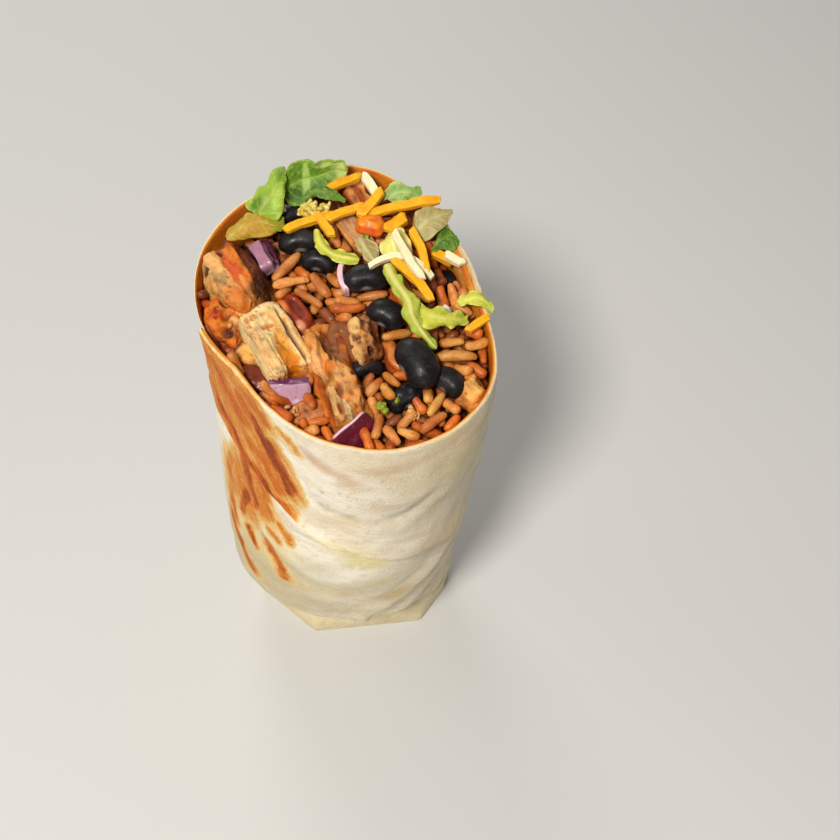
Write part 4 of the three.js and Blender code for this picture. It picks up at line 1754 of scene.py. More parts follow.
@dataclass(frozen=True)
class Chunk(Piece):
    """A cut or torn chunk: a rounded block with lumps, fibres, pores and splits."""

    lie: Lie
    size: tuple[float, float, float]
    sides: Sides
    square: float = 3.0
    lumps: float = 0.07
    seed: float = 0.0
    cuts: int = 20
    fibre: float = 0.0
    knobs: float = 0.12
    pores: float = 0.0
    pore_size: float = 1.3
    splits: tuple[float, ...] = ()
    bands: tuple[tuple[float, Colour], ...] = ()
    blotches: tuple[Blotches, ...] = ()
    patches: tuple[Patch, ...] = ()
    bow: float = 0.0
    drop: float = 0.0

    def core(self) -> Core:
        """The chunk as the rice meets it."""
        return Core(node_middle(self.node), self.lie.matrix(), np.array(self.size) / 2.0)

    def shape(self) -> bpy.types.Object:
        """Makes the chunk.

        Returns:
            The piece.
        """
        piece = begin(Start.BLOCK, self.name, size=2.0 * MM)
        with editing(piece):
            bpy.ops.mesh.subdivide(number_cuts=self.cuts)
        unit = places_of(piece)
        size = np.sum(np.abs(unit) ** self.square, axis=1) ** (-1.0 / self.square)
        place = unit * size[:, None]
        ripple = np.sin(place[:, 0] * 5 + self.seed) * np.cos(place[:, 1] * 4 - self.seed * 2)
        wave = ripple + np.sin(place[:, 2] * 4 + self.seed * 3)
        place = place * (1.0 + self.lumps * wave)[:, None] * np.array(self.size) / 2.0
        along = 2.0 * place[:, 0] / self.size[0]
        place[:, 1] += (0.5 - along * along) * self.bow * self.size[0] * 0.5
        move_to(piece, place)
        facing = normals_of(piece)
        relief = self.relief(place)
        move_to(piece, place + facing * (relief + self.lifts(place))[:, None])
        paint(piece, TINT, self.tint(place, facing, relief))
        tidy(piece)
        seat(piece, self.node, self.lie, self.drop)
        return piece

    def relief(self, place: Array) -> Array:
        """Height of the surface's detail.

        Args:
            place: Places on the smooth chunk.

        Returns:
            How far each is pushed out.
        """
        seed = int(self.seed * 10)
        fine = place + 0.5 * np.stack([noise(place, 2.5, seed + i) for i in range(3)], axis=1)
        knobs = 1.6 * layered(place, 3.2, 3, seed + 5) + 1.1 * layered(place, 6.0, 2, seed + 6)
        height = self.knobs * knobs
        strands = 1.0 - np.abs(noise(fine, (9.0, 1.3, 1.3), seed + 9)) * 2.0
        height = height + self.fibre * (strands + 0.5 * noise(fine, (6.0, 0.7, 0.7), seed + 10))
        if self.pores:
            hollow = 1.0 - rise(pits(fine, self.pore_size, seed + 13), 0.12, 0.42)
            height = height - self.pores * hollow * rise(noise(place, 3.0, seed + 14), -0.5, 0.1)
        for split in self.splits:
            wander = 0.5 * noise(place * np.array((1.0, 0.0, 0.4)), 3.5, seed + 17)
            away = np.abs(place[:, 1] - split * self.size[1] / 2.0 + wander)
            upper = place[:, 2] > -self.size[2] * 0.3
            height = height - 1.3 * (1.0 - rise(away, 0.0, 0.75)) * upper
        return height

    def lifts(self, place: Array) -> Array:
        """How far the patches lift each place of the smooth chunk.

        Args:
            place: Places on the smooth chunk.

        Returns:
            The lift of each.
        """
        unit = 2.0 * place / np.array(self.size)
        jitter = noise(place, 2.2, int(self.seed * 10) + 19) * 0.6
        lifts = (patch.lift * patch.weight(unit, jitter) for patch in self.patches)
        return sum(lifts, np.zeros(len(place)))

    def tint(self, place: Array, facing: Array, relief: Array) -> Array:
        """Tints of the surface, with painted shade in the hollows of its relief.

        Args:
            place: Places on the smooth chunk.
            facing: The way that each faces.
            relief: How far each was pushed out.

        Returns:
            One colour for each place.
        """
        seed = int(self.seed * 10)
        jitter = np.stack([layered(place, 2.4, 2, seed + 30 + i) for i in range(3)], axis=1)
        colour = self.sides.tint(facing + 0.35 * jitter)
        across = 2.0 * place[:, 1] / self.size[1] + 0.16 * jitter[:, 0]
        for start, band in self.bands:
            share = rise(across, start - 0.06, start + 0.06) * rise(facing[:, 2], 0.1, 0.5)
            colour = mixed(colour, band, share)
        for number, spot in enumerate(self.blotches, seed + 40):
            cover = rise(layered(place, spot.size, 3, number), 0.5 - spot.cover, 0.75 - spot.cover)
            colour = mixed(colour, spot.tint, cover * spot.share)
        unit = 2.0 * place / np.array(self.size)
        for patch in self.patches:
            if patch.tint is not None:
                colour = mixed(colour, patch.tint, patch.weight(unit, jitter[:, 2]) * patch.share)
        fine = layered(place, 1.1, 2, seed + 50)
        # Painted shade: the hollows of the relief, such as pores and splits, are darkened.
        low = rise(-relief, 0.0, 0.55)
        speckle = 1.0 + 0.12 * jitter[:, 1] + 0.1 * fine
        return colour * (1.0 - 0.5 * low)[:, None] * speckle[:, None]


@dataclass(frozen=True)
class Bean(Piece):
    """A black bean: a plump kidney with its hollow side to the front, and a dusty skin."""

    lie: Lie
    size: tuple[float, float, float]
    bend: float = 0.14
    wrinkle: float = 0.06
    seed: int = 0

    def core(self) -> Core:
        """The bean as the rice meets it."""
        return Core(node_middle(self.node), self.lie.matrix(), np.array(self.size) / 2.0)

    def shape(self) -> bpy.types.Object:
        """Makes the bean.

        Returns:
            The piece.
        """
        piece = begin(Start.BALL, self.name, segments=36, ring_count=26, radius=MM)
        unit = places_of(piece)[:, [2, 0, 1]]
        plump = np.sqrt(np.clip(1.0 - np.abs(unit[:, 0]) ** 2.7, 0.0, 1.0))
        round_off = np.sqrt(np.clip(1.0 - unit[:, 0] ** 2, 1e-9, 1.0))
        place = unit.copy()
        place[:, 1:] *= (plump / round_off)[:, None]
        place *= np.array(self.size) / 2.0
        place[:, 1] += (0.4 - unit[:, 0] ** 2) * self.bend * self.size[0] * 0.5
        dent = 0.5 * np.exp(-(unit[:, 0] / 0.35) ** 2) * rise(-unit[:, 1], 0.3, 1.0)
        place[:, 1] += dent
        move_to(piece, place)
        facing = normals_of(piece)
        skin = 0.1 * layered(place, 3.4, 2, self.seed)
        lines = 1.0 - np.abs(noise(place, (4.0, 0.9, 0.9), self.seed + 3)) * 4.0
        skin -= self.wrinkle * rise(lines, 0.2, 0.9)
        move_to(piece, place + facing * skin[:, None])
        dust = rise(layered(place, 2.8, 3, self.seed + 5), -0.1, 0.6)
        colour = mixed(rgb(22, 18, 19), rgb(52, 47, 50), dust * 0.85)
        seam = np.exp(-(unit[:, 0] / 0.22) ** 2) * rise(-unit[:, 1], 0.93, 0.98)
        paint(piece, TINT, mixed(colour, rgb(150, 140, 130), seam))
        tidy(piece)
        seat(piece, self.node, self.lie)
        return piece


@dataclass(frozen=True)
class LeafTint:
    """Tints of a leaf: its blade, its edge, its rib and its shadowed side."""

    blade: Colour
    edge: Colour
    rib: Colour
    far: Colour


@dataclass(frozen=True)
class Leaf(Piece):
    """A torn leaf: a thin sheet with a rib, side veins, ruffles and a ragged edge.

    Its net has stations from end to end, each with a left, a middle and a right place, given from
    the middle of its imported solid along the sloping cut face.
    """

    tint: LeafTint
    net: tuple[tuple[tuple[float, float, float], ...], ...]
    patches: tuple[Patch, ...] = ()
    ruffle: float = 0.3
    thick: float = 0.42
    ragged: float = 0.12
    rib: float = 0.0
    rib_height: float = 0.3
    vein_gap: float = 2.0
    seed: int = 0

    def spread(self, along: Array, across: Array) -> Array:
        """Places on the net.

        Args:
            along: From -1 at the first station to 1 at the last.
            across: From -1 on the left to 1 on the right.

        Returns:
            The places in millimetres.
        """
        net = np.array(self.net)
        place = np.clip((along + 1.0) / 2.0, 0.0, 1.0) * (len(net) - 1)
        first = np.clip(np.floor(place).astype(int), 0, len(net) - 2)
        steps = [np.clip(first + step, 0, len(net) - 1) for step in (-1, 0, 1, 2)]
        share = (place - first)[:, None]
        left, middle, right = (
            cubic([net[step, side] for step in steps], share) for side in range(3)
        )
        a = across[:, None]
        at = 0.5 * a * (a - 1.0) * left + (1.0 - a * a) * middle + 0.5 * a * (a + 1.0) * right
        at[:, 2] += SLOPE * at[:, 1]
        return at + node_middle(self.node)

    def shape(self) -> bpy.types.Object:
        """Makes the leaf.

        Returns:
            The piece.
        """
        piece = begin(Start.SHEET, self.name, x_subdivisions=72, y_subdivisions=34, size=2.0 * MM)
        flat = places_of(piece)
        along, across = flat[:, 0], flat[:, 1]
        end, edge = np.abs(along), np.abs(across)
        rough = self.spread(along, across)
        ends, sides = (
            layered(np.stack([rough[:, 0], rough[:, 1], np.sign(way) * 9.0], axis=1), 2.6, 3, seed)
            for seed, way in enumerate((along, across), self.seed)
        )
        rounded = np.sqrt(1.0 - 0.6 * end**8)
        inward = 1.0 - self.ragged * (0.5 + 0.5 * sides) * edge**3
        x = along * (1.0 - self.ragged * 0.5 * (0.5 + 0.5 * ends) * end**4)
        at = self.spread(x, across * rounded * inward)
        move_to(piece, at)
        facing = normals_of(piece)
        side = np.ones(len(along))
        width = np.linalg.norm(self.spread(along, side) - self.spread(along, -side), axis=1)
        length = np.linalg.norm(np.diff(np.array(self.net)[:, 1], axis=0), axis=1).sum()
        reach = np.abs(across - self.rib) * width / 2.0
        way = along * length / 2.0
        stem = np.exp(-((reach / (0.55 * (1.15 - along) * 0.5 + 0.2)) ** 2))
        wander = 0.35 * noise(at, 2.0, self.seed + 4)
        veins = np.abs((((way - reach * 0.9) / self.vein_gap + wander) % 1.0) - 0.5) * 2.0
        vein = rise(veins, 0.72, 1.0) * rise(reach, 0.3, 1.0)
        uneven = 2.4 * noise(rough, 3.4, self.seed + 9)
        frill = self.ruffle * np.sin(way * 1.2 + across + self.seed + uneven) * edge**2
        puff = 0.24 * layered(at, 1.9, 2, self.seed + 6) + 0.3 * noise(at, 5.0, self.seed + 7)
        flutter = 0.5 * noise(at, 1.5, self.seed + 8) * rise(edge, 0.6, 1.0)
        height = frill + self.rib_height * stem - 0.18 * vein + puff + flutter
        move_to(piece, at + facing * height[:, None])
        paint(piece, TINT, self.colour(at, along, across, stem, vein, puff))
        finish_with(piece, "SOLIDIFY", thickness=self.thick * MM, offset=0.0)
        tidy(piece)
        return piece

    def colour(self, at: Array, along: Array, across: Array, stem: Array, vein: Array,
               puff: Array) -> Array:
        """Tints of the leaf, with painted light and shade by the blade's height.

        Args:
            at: Places on the leaf.
            along: From -1 to 1 from end to end.
            across: From -1 to 1 from left to right.
            stem: Weight of the rib.
            vein: Weight of the side veins.
            puff: Height of the blade between the veins.

        Returns:
            One colour for each place.
        """
        mottle = layered(at, 2.4, 3, self.seed + 10)
        colour = mixed(self.tint.blade, self.tint.far, rise(along + 0.5 * mottle, 0.0, 1.1))
        unit = np.stack([along, across, np.ones(len(along))], axis=1)
        for patch in self.patches:
            colour = mixed(colour, patch.tint, patch.weight(unit, mottle) * patch.share)
        edge = rise(np.abs(across) + 0.14 * mottle, 0.72, 1.0)
        colour = mixed(colour, self.tint.edge, edge * 0.8)
        colour = mixed(colour, self.tint.rib, np.clip(stem * 0.8, 0, 1))
        colour = mixed(colour, self.tint.rib, vein * 0.4)
        # Painted light and shade: the blade is lighter where it puffs up between the veins and
        # darker where it sinks.
        return colour * (1.0 + 0.16 * mottle + 0.3 * np.clip(puff, -0.3, 0.3))[:, None]


@dataclass(frozen=True)
class Shred(Piece):
    """A grated shred of cheese: a square strip along a curve, torn at its ends."""

    lie: Lie
    length: float
    tint: Colour
    deep: Colour
    width: float = 2.0
    depth: float = 1.5
    bow: float = 0.0
    arch: float = 0.0
    drop: float = 0.0
    seed: int = 0
    square: float = 14.0

    def shape(self) -> bpy.types.Object:
        """Makes the shred.

        Returns:
            The piece.
        """
        piece = begin(Start.BLOCK, self.name, size=2.0 * MM)
        with editing(piece):
            bpy.ops.mesh.subdivide(number_cuts=5)
        along = places_of(piece)[:, 0]
        ends = np.array([along[list(edge.vertices)] for edge in piece.data.edges])
        lengthwise = np.abs(ends[:, 0] - ends[:, 1]) > 0.1
        with editing(piece):
            bpy.ops.mesh.select_mode(type="EDGE")
            bpy.ops.mesh.select_all(action="DESELECT")
            bpy.ops.object.mode_set(mode="OBJECT")
            for edge, chosen in zip(piece.data.edges, lengthwise):
                edge.select = bool(chosen)
            bpy.ops.object.mode_set(mode="EDIT")
            bpy.ops.mesh.subdivide(number_cuts=6)
            bpy.ops.mesh.select_mode(type="VERT")
        unit = places_of(piece)
        across = np.sum(np.abs(unit[:, 1:]) ** self.square, axis=1) ** (1.0 / self.square)
        most = np.abs(unit[:, 1:]).max(axis=1)
        section = unit[:, 1:] * (most / np.maximum(across, 1e-6))[:, None]
        middle, end = unit[:, 0] * self.length / 2.0, np.abs(unit[:, 0])
        thick = section * 3.0 + (0.0, self.seed * 7.0)
        step = np.stack([middle, thick[:, 0], thick[:, 1]], axis=1)
        swell = 1.0 + 0.16 * layered(step * (1.0, 0.0, 1.0), 3.4, 2, self.seed)
        taper = 1.0 - 0.35 * rise(end, 0.82, 1.0)
        t = (unit[:, 0] + 1.0) / 2.0
        curve = 4.0 * t * (1 - t)
        x = middle + 0.35 * section[:, 0] * np.sign(unit[:, 0]) * rise(end, 0.8, 1.0)
        drift = 0.35 * noise(step * (1.0, 0.0, 0.0) + self.seed * 3.0, 4.0, self.seed + 2)
        y = section[:, 0] * self.width / 2.0 * swell * taper + curve * self.bow + drift
        z = section[:, 1] * self.depth / 2.0 * swell * taper + curve * self.arch - 0.25 * drift
        place = np.stack([x, y, z], axis=1)
        move_to(piece, place)
        facing = normals_of(piece)
        move_to(piece, place + facing * (0.08 * layered(step, 1.2, 2, self.seed + 4))[:, None])
        shade = rise(layered(step, 2.4, 2, self.seed + 6), -0.3, 0.8)
        paint(piece, TINT, mixed(self.tint, self.deep, shade * 0.7))
        tidy(piece, 50.0)
        seat(piece, self.node, self.lie, self.drop, False)
        return piece


# ---------------------------------------------------------------------------------------------
# The rice
# ---------------------------------------------------------------------------------------------
class Cooked(Enum):
    """Kinds of grain, with the tints of their light and their stained side."""

    TAN = (rgb(222, 154, 82), rgb(196, 108, 38))
    ORANGE = (rgb(214, 118, 38), rgb(186, 82, 20))
    BROWN = (rgb(156, 84, 38), rgb(118, 56, 22))
    PALE = (rgb(220, 162, 82), rgb(198, 122, 38))


@dataclass(frozen=True)
class Grain:
    """A grain that lies on top, by its place, its height over the cut face and its heading."""

    kind: Cooked
    x: float
    y: float
    up: float
    heading: float
    length: float


TAN_GRAINS = (
    (-9.4, 17.1, -1.2, 41, 9.6), (-9.2, 13.2, -2.2, 13, 9.0), (-4.5, 9.6, -2.0, -33, 8.2),
    (-1.8, 13.0, -2.2, -53, 7.9), (0.9, 15.1, -2.6, -66, 6.2), (2.1, 11.5, -3.4, -57, 4.0),
    (1.3, 25.7, -2.0, -74, 6.2), (10.4, 10.6, -2.4, 29, 7.2), (31.4, -9.0, -2.6, -50, 5.6),
    (28.5, -15.4, -2.8, -60, 5.4), (24.3, -20.3, -2.4, 40, 7.4), (15.1, -23.1, -3.0, -54, 5.8),
    (12.1, -21.3, -2.6, -103, 6.4), (11.3, -11.4, -3.4, 59, 5.8), (3.8, 4.4, -3.0, -53, 4.4),
    (-18.8, 25.7, -4.5, -33, 4.5),
)
ORANGE_GRAINS = (
    (-6.0, 17.1, -3.4, -57, 4.2), (-14.3, 28.0, -4.5, 21, 5.6), (4.7, 7.4, -2.2, 12, 8.6),
    (33.9, -8.0, -3.4, -50, 5.2), (21.3, -16.0, -3.0, -52, 4.6), (28.7, -20.0, -3.0, 51, 5.0),
    (9.4, -23.8, -2.4, -65, 6.6), (12.3, -24.4, -4.2, -38, 4.6), (-2.7, -15.5, -3.4, -49, 4.6),
    (0.8, -23.1, -4.2, -43, 4.6), (-27.9, 9.5, -4.0, -40, 4.6), (33.4, -11.7, -5.0, -54, 5.2),
    (34.4, 1.0, -2.6, -37, 4.4), (-1.0, -19.6, -4.4, 30, 5.0), (-17.6, 28.6, -5.0, 35, 5.0),
    (20.5, -24.6, -3.6, 15, 5.2),
)
BROWN_GRAINS = (
    (24.9, 15.8, -5.5, -66, 6.0), (27.9, 17.2, -6.0, -68, 5.0), (-0.3, 6.5, -4.4, -40, 5.0),
    (-9.0, 30.7, -5.5, -29, 5.0), (7.0, -15.6, -5.5, -60, 6.0), (22.4, 9.6, -6.0, 30, 6.0),
    (-22.5, 3.0, -5.5, -70, 5.0), (-13.0, -3.0, -6.0, 20, 6.0),
)
PALE_GRAINS = (
    (31.6, 6.3, -1.6, -41, 5.0), (15.7, 1.9, -2.6, 27, 7.4), (29.9, -5.1, -1.6, 2, 9.6),
    (28.7, -1.1, -2.6, 14, 6.2), (34.4, -0.7, -3.0, 29, 5.8), (23.5, -14.0, -1.8, -57, 5.0),
    (25.0, -15.6, -2.0, 50, 6.8), (19.0, -23.1, -2.6, -31, 5.6), (14.9, -10.4, -2.8, -43, 5.6),
    (15.0, -13.0, -3.4, -56, 5.0),
)


@dataclass
class Rice:
    """The rice: a sauced core under loose grains that settle round the pieces."""

    cores: Sequence[Core]
    grain_length: float = 7.6
    grain_width: float = 2.45
    beads: int = 5
    layers: tuple[tuple[float, int], ...] = (
        (-10.0, 100), (-8.2, 120), (-6.4, 130), (-4.8, 110), (-3.6, 50),
    )
    core_top: float = -10.2
    core_rings: int = 56
    rounds: int = 30
    stay: float = 0.35
    strewn: float = 33.0
    tilt_deg: float = 12.0
    bead_gap: float = 1.88
    bead_batch: int = 400
    most_step: float = 0.8
    most_swing: float = 0.12
    fall: float = 0.03
    table: tuple[tuple[Cooked, tuple[tuple[float, ...], ...]], ...] = (
        (Cooked.TAN, TAN_GRAINS),
        (Cooked.ORANGE, ORANGE_GRAINS),
        (Cooked.BROWN, BROWN_GRAINS),
        (Cooked.PALE, PALE_GRAINS),
    )

    def build_core(self) -> None:
        """Makes the sauced mass under the loose grains."""
        turn = np.linspace(0.0, 1.0, 145)
        foot = (TORTILLA + 0.6, FLOOR + 0.3)
        places = [on_disc(turn, FLOOR / CUT_HEIGHT, share, *foot) for share in (0.0, 0.6)]
        for level_at in (0.16, 0.3, 0.45, 0.6, 0.75, 0.88, 0.92):
            level = np.full(turn.shape, level_at)
            places.append(on_wrap(turn, level, wall_inside(turn, level) + 0.3))
        rim = places[-1]
        middle = rim[:-1].mean(axis=0)
        for share in np.linspace(1.0, 0.0, self.core_rings):
            at = middle + (rim - middle) * share
            spread = at * (1.0, 1.0, 0.0)
            stray = np.stack([noise(spread, 5.0, seed) for seed in (2, 3, 4)], axis=-1)
            spread = spread + 1.6 * stray
            grains = 1.1 - 2.2 * rise(pits(spread * (1.0, 0.55, 1.0), 3.0, 7), 0.1, 0.75)
            at[:, 2] = cut_height(at[:, 0], at[:, 1]) + self.core_top + grains
            places.append(at)
        grid = np.stack(places, axis=1)
        piece = turned("rice_core", grid)
        shade = by_sheet(piece, rise(layered(grid, 4.0, 3, 5), -0.4, 0.6))
        paint(piece, TINT, mixed(rgb(56, 22, 10), rgb(122, 56, 24), shade))
        tidy(piece)
        hand_over(piece, SAUCE, "rice")

    def form(self) -> tuple[Array, list[tuple[int, ...]]]:
        """One blunt grain, modelled once.

        Returns:
            Its vertices about the origin, from -1 to 1 along X, and its faces.
        """
        ball, faces = ball_form("grain_form", 8, 7)
        unit = ball[:, [2, 0, 1]]
        plump = np.clip(1.0 - np.abs(unit[:, 0]) ** 6.0, 0.0, 1.0) ** 0.5
        round_off = np.sqrt(np.clip(1.0 - unit[:, 0] ** 2, 1e-9, 1.0))
        unit[:, 1:] *= (plump / round_off)[:, None]
        return unit, faces

    def strew(self) -> tuple[list[Grain], int]:
        """Lays out the grains: those on top by their places and the rest in layers by chance.

        Returns:
            The grains, and how many of them have their own places.
        """
        random = np.random.default_rng(7)
        grains = [Grain(kind, *row) for kind, rows in self.table for row in rows]
        placed = len(grains)
        kinds = (Cooked.TAN, Cooked.ORANGE, Cooked.ORANGE, Cooked.TAN, Cooked.BROWN)
        for up, count in self.layers:
            for _ in range(count):
                reach = self.strewn * math.sqrt(random.random())
                angle = random.random() * 2.0 * math.pi
                x = RIM_MIDDLE[0] + reach * math.cos(angle)
                y = RIM_MIDDLE[1] + reach * math.sin(angle)
                heading = random.uniform(0.0, 360.0)
                length = self.grain_length * random.uniform(0.72, 1.12)
                kind = kinds[int(random.integers(len(kinds)))]
                grains.append(Grain(kind, x, y, up + random.uniform(-0.6, 0.6), heading, length))
        return grains, placed

    def settle(self) -> tuple[list[Grain], Array, Array]:
        """Lets the grains move out of each other, of the pieces and of the wall.

        Returns:
            The grains that stay, with their middles and directions.
        """
        grains, placed = self.strew()
        random = np.random.default_rng(17)
        flat = np.array([(grain.x, grain.y, grain.up) for grain in grains])
        middle = flat.copy()
        middle[:, 2] += cut_height(flat[:, 0], flat[:, 1])
        heading = np.radians([grain.heading for grain in grains])
        by_hand = np.arange(len(grains)) < placed
        tilt = np.radians(random.normal(0.0, self.tilt_deg, len(grains)))
        tilt = np.where(by_hand, 0.0, tilt)
        flat_way = [np.cos(heading) * np.cos(tilt), np.sin(heading) * np.cos(tilt)]
        way = np.stack([*flat_way, np.sin(tilt)], axis=1) @ rotation(0, CUT_SLOPE_DEG).T
        length = np.array([grain.length for grain in grains])
        loose = np.where(by_hand, self.stay, 1.0)
        keep = (loose < 1.0) | ~self.blocked(middle, 2.0)
        for _ in range(self.rounds):
            middle[keep], way[keep] = self.relax(middle[keep], way[keep], length[keep], loose[keep])
        keep &= (loose < 1.0) | ~(self.blocked(middle, 0.2) | self.over_pieces(middle))
        return [grain for grain, kept in zip(grains, keep) if kept], middle[keep], way[keep]

    def blocked(self, places: Array, deep: float) -> Array:
        """Whether each place is more than so deep in a piece."""
        return np.any([core.depth(places, 0.0)[0] > deep for core in self.cores], axis=0)

    def over_pieces(self, places: Array) -> Array:
        """Whether places are on top of a piece, where no chance grain may hide it.

        Args:
            places: Places to test.

        Returns:
            True or false for each place.
        """
        result = np.zeros(len(places), dtype=bool)
        for core in self.cores:
            own = (places - core.middle) @ core.turn
            near = np.all(np.abs(own[:, :2]) < core.half[:2] + 0.6, axis=1)
            result |= near & (places[:, 2] > core.middle[2])
        return result

    def relax(self, middle: Array, way: Array, length: Array, loose: Array) -> tuple[Array, Array]:
        """Moves every grain a little out of the others, the pieces, the wall and the core.

        Args:
            middle: Middles of the grains.
            way: Their directions.
            length: Their lengths.
            loose: How freely each moves.

        Returns:
            The new middles and directions.
        """
        radius = self.grain_width / 2.0
        spread = np.linspace(-1.0, 1.0, self.beads)
        reach = (length / 2.0 - radius)[:, None] * spread
        beads = middle[:, None] + way[:, None] * reach[..., None]
        flat = beads.reshape(-1, 3)
        owner = np.repeat(np.arange(len(middle)), self.beads)
        push = keep_inside(flat, radius * 0.8) - flat
        floor = cut_height(flat[:, 0], flat[:, 1]) + self.core_top + radius * 0.7
        push[:, 2] += np.clip(floor - flat[:, 2], 0.0, None)
        gap = self.bead_gap * radius
        for start in range(0, len(flat), self.bead_batch):
            part = slice(start, start + self.bead_batch)
            apart = flat[part, None] - flat[None]
            distance = np.sqrt(np.sum(apart**2, axis=-1)) + 1e-6
            close = (distance < gap) & (owner[part, None] != owner[None])
            force = np.where(close, (gap - distance) / distance, 0.0)
            push[part] += 0.5 * np.sum(apart * force[..., None], axis=1)
        for core in self.cores:
            depth, away = core.depth(flat, radius * 0.8)
            push += depth[:, None] * away * 0.8
        push = push.reshape(beads.shape)
        step = push.mean(axis=1)
        size = np.linalg.norm(step, axis=1, keepdims=True)
        step *= np.minimum(1.0, self.most_step / np.maximum(size, 1e-6))
        step[:, 2] -= self.fall
        swing = np.sum(push * spread[None, :, None], axis=1) / np.maximum(length, 1.0)[:, None]
        way = way + np.clip(swing, -self.most_swing, self.most_swing) * loose[:, None]
        return middle + step * loose[:, None], way / np.linalg.norm(way, axis=1, keepdims=True)

    def build_grains(self) -> None:
        """Makes all the loose grains as one piece."""
        unit, faces = self.form()
        grains, middle, way = self.settle()
        random = np.random.default_rng(11)
        count = len(grains)
        length = np.array([grain.length for grain in grains])
        side = np.cross(way, np.array([0.0, 0.0, 1.0]))
        side /= np.linalg.norm(side, axis=1, keepdims=True)
        top = np.cross(side, way)
        spin = random.uniform(0.0, 2.0 * math.pi, count)[:, None]
        cos, sin = np.cos(spin), np.sin(spin)
        side, top = side * cos + top * sin, top * cos - side * sin
        bend = random.uniform(0.03, 0.12, count)[:, None]
        width = self.grain_width * random.uniform(0.88, 1.1, count)[:, None]
        x, y, z = unit.T[:, None]
        along = x * length[:, None] / 2.0
        taper = random.uniform(-0.18, 0.18, count)[:, None]
        uneven = 1.0 + 0.07 * np.sin(x * 5.0 + spin) + taper * x
        uneven = uneven * (1.0 + 0.07 * np.sin(y * 7.0 + x * 3.0 + spin * 3.0))
        across = y * width / 2.0 * uneven + bend * (0.4 - x**2) * length[:, None] / 2.0
        up = z * width * 0.45 * uneven
        parts = ((way, along), (side, across), (top, up))
        places = middle[:, None] + sum(line[:, None] * size[..., None] for line, size in parts)
        piece = copies("rice_grains", faces, places)
        paint(piece, TINT, self.tints(grains, places, middle))
        hand_over(piece, RICE, "rice")

    def tints(self, grains: Sequence[Grain], places: Array, middle: Array) -> Array:
        """Tints of the grains: by their kind, stained in patches, and darkened deep down with
        painted shade.

        Args:
            grains: The grains.
            places: Places of the grains' vertices.
            middle: Middles of the grains.

        Returns:
            One colour for each vertex.
        """
        kinds = np.array([grain.kind.value for grain in grains])
        spots = places.reshape(-1, 3)
        owner = np.repeat(np.arange(len(grains)), places.shape[1])
        stain = rise(layered(spots, 2.6, 3, 3), -0.3, 0.4)
        colour = mixed(kinds[owner, 0], kinds[owner, 1], stain)
        # Painted shade: grains lying deeper in the pile are darkened towards dark brown.
        deep = cut_height(middle[:, 0], middle[:, 1]) - middle[:, 2]
        depth_shade = 0.72 * rise(deep, 3.6, 8.4)
        colour = mixed(colour, rgb(92, 38, 16), depth_shade[owner])
        own = np.random.default_rng(12).uniform(0.86, 1.1, len(grains))
        return colour * (own[owner] * (1.0 + 0.16 * layered(spots, 1.3, 2, 9)))[:, None]


# ---------------------------------------------------------------------------------------------
# What lies in the cut face
# ---------------------------------------------------------------------------------------------
PALE = rgb(240, 194, 124)
TAN = rgb(222, 152, 74)
AMBER = rgb(218, 122, 32)
RUST = rgb(170, 76, 24)
UMBER = rgb(112, 48, 16)
SOOT = rgb(62, 26, 12)
CREAM = rgb(244, 214, 154)
GLAZE = rgb(232, 144, 22)
SCARLET = rgb(206, 74, 22)

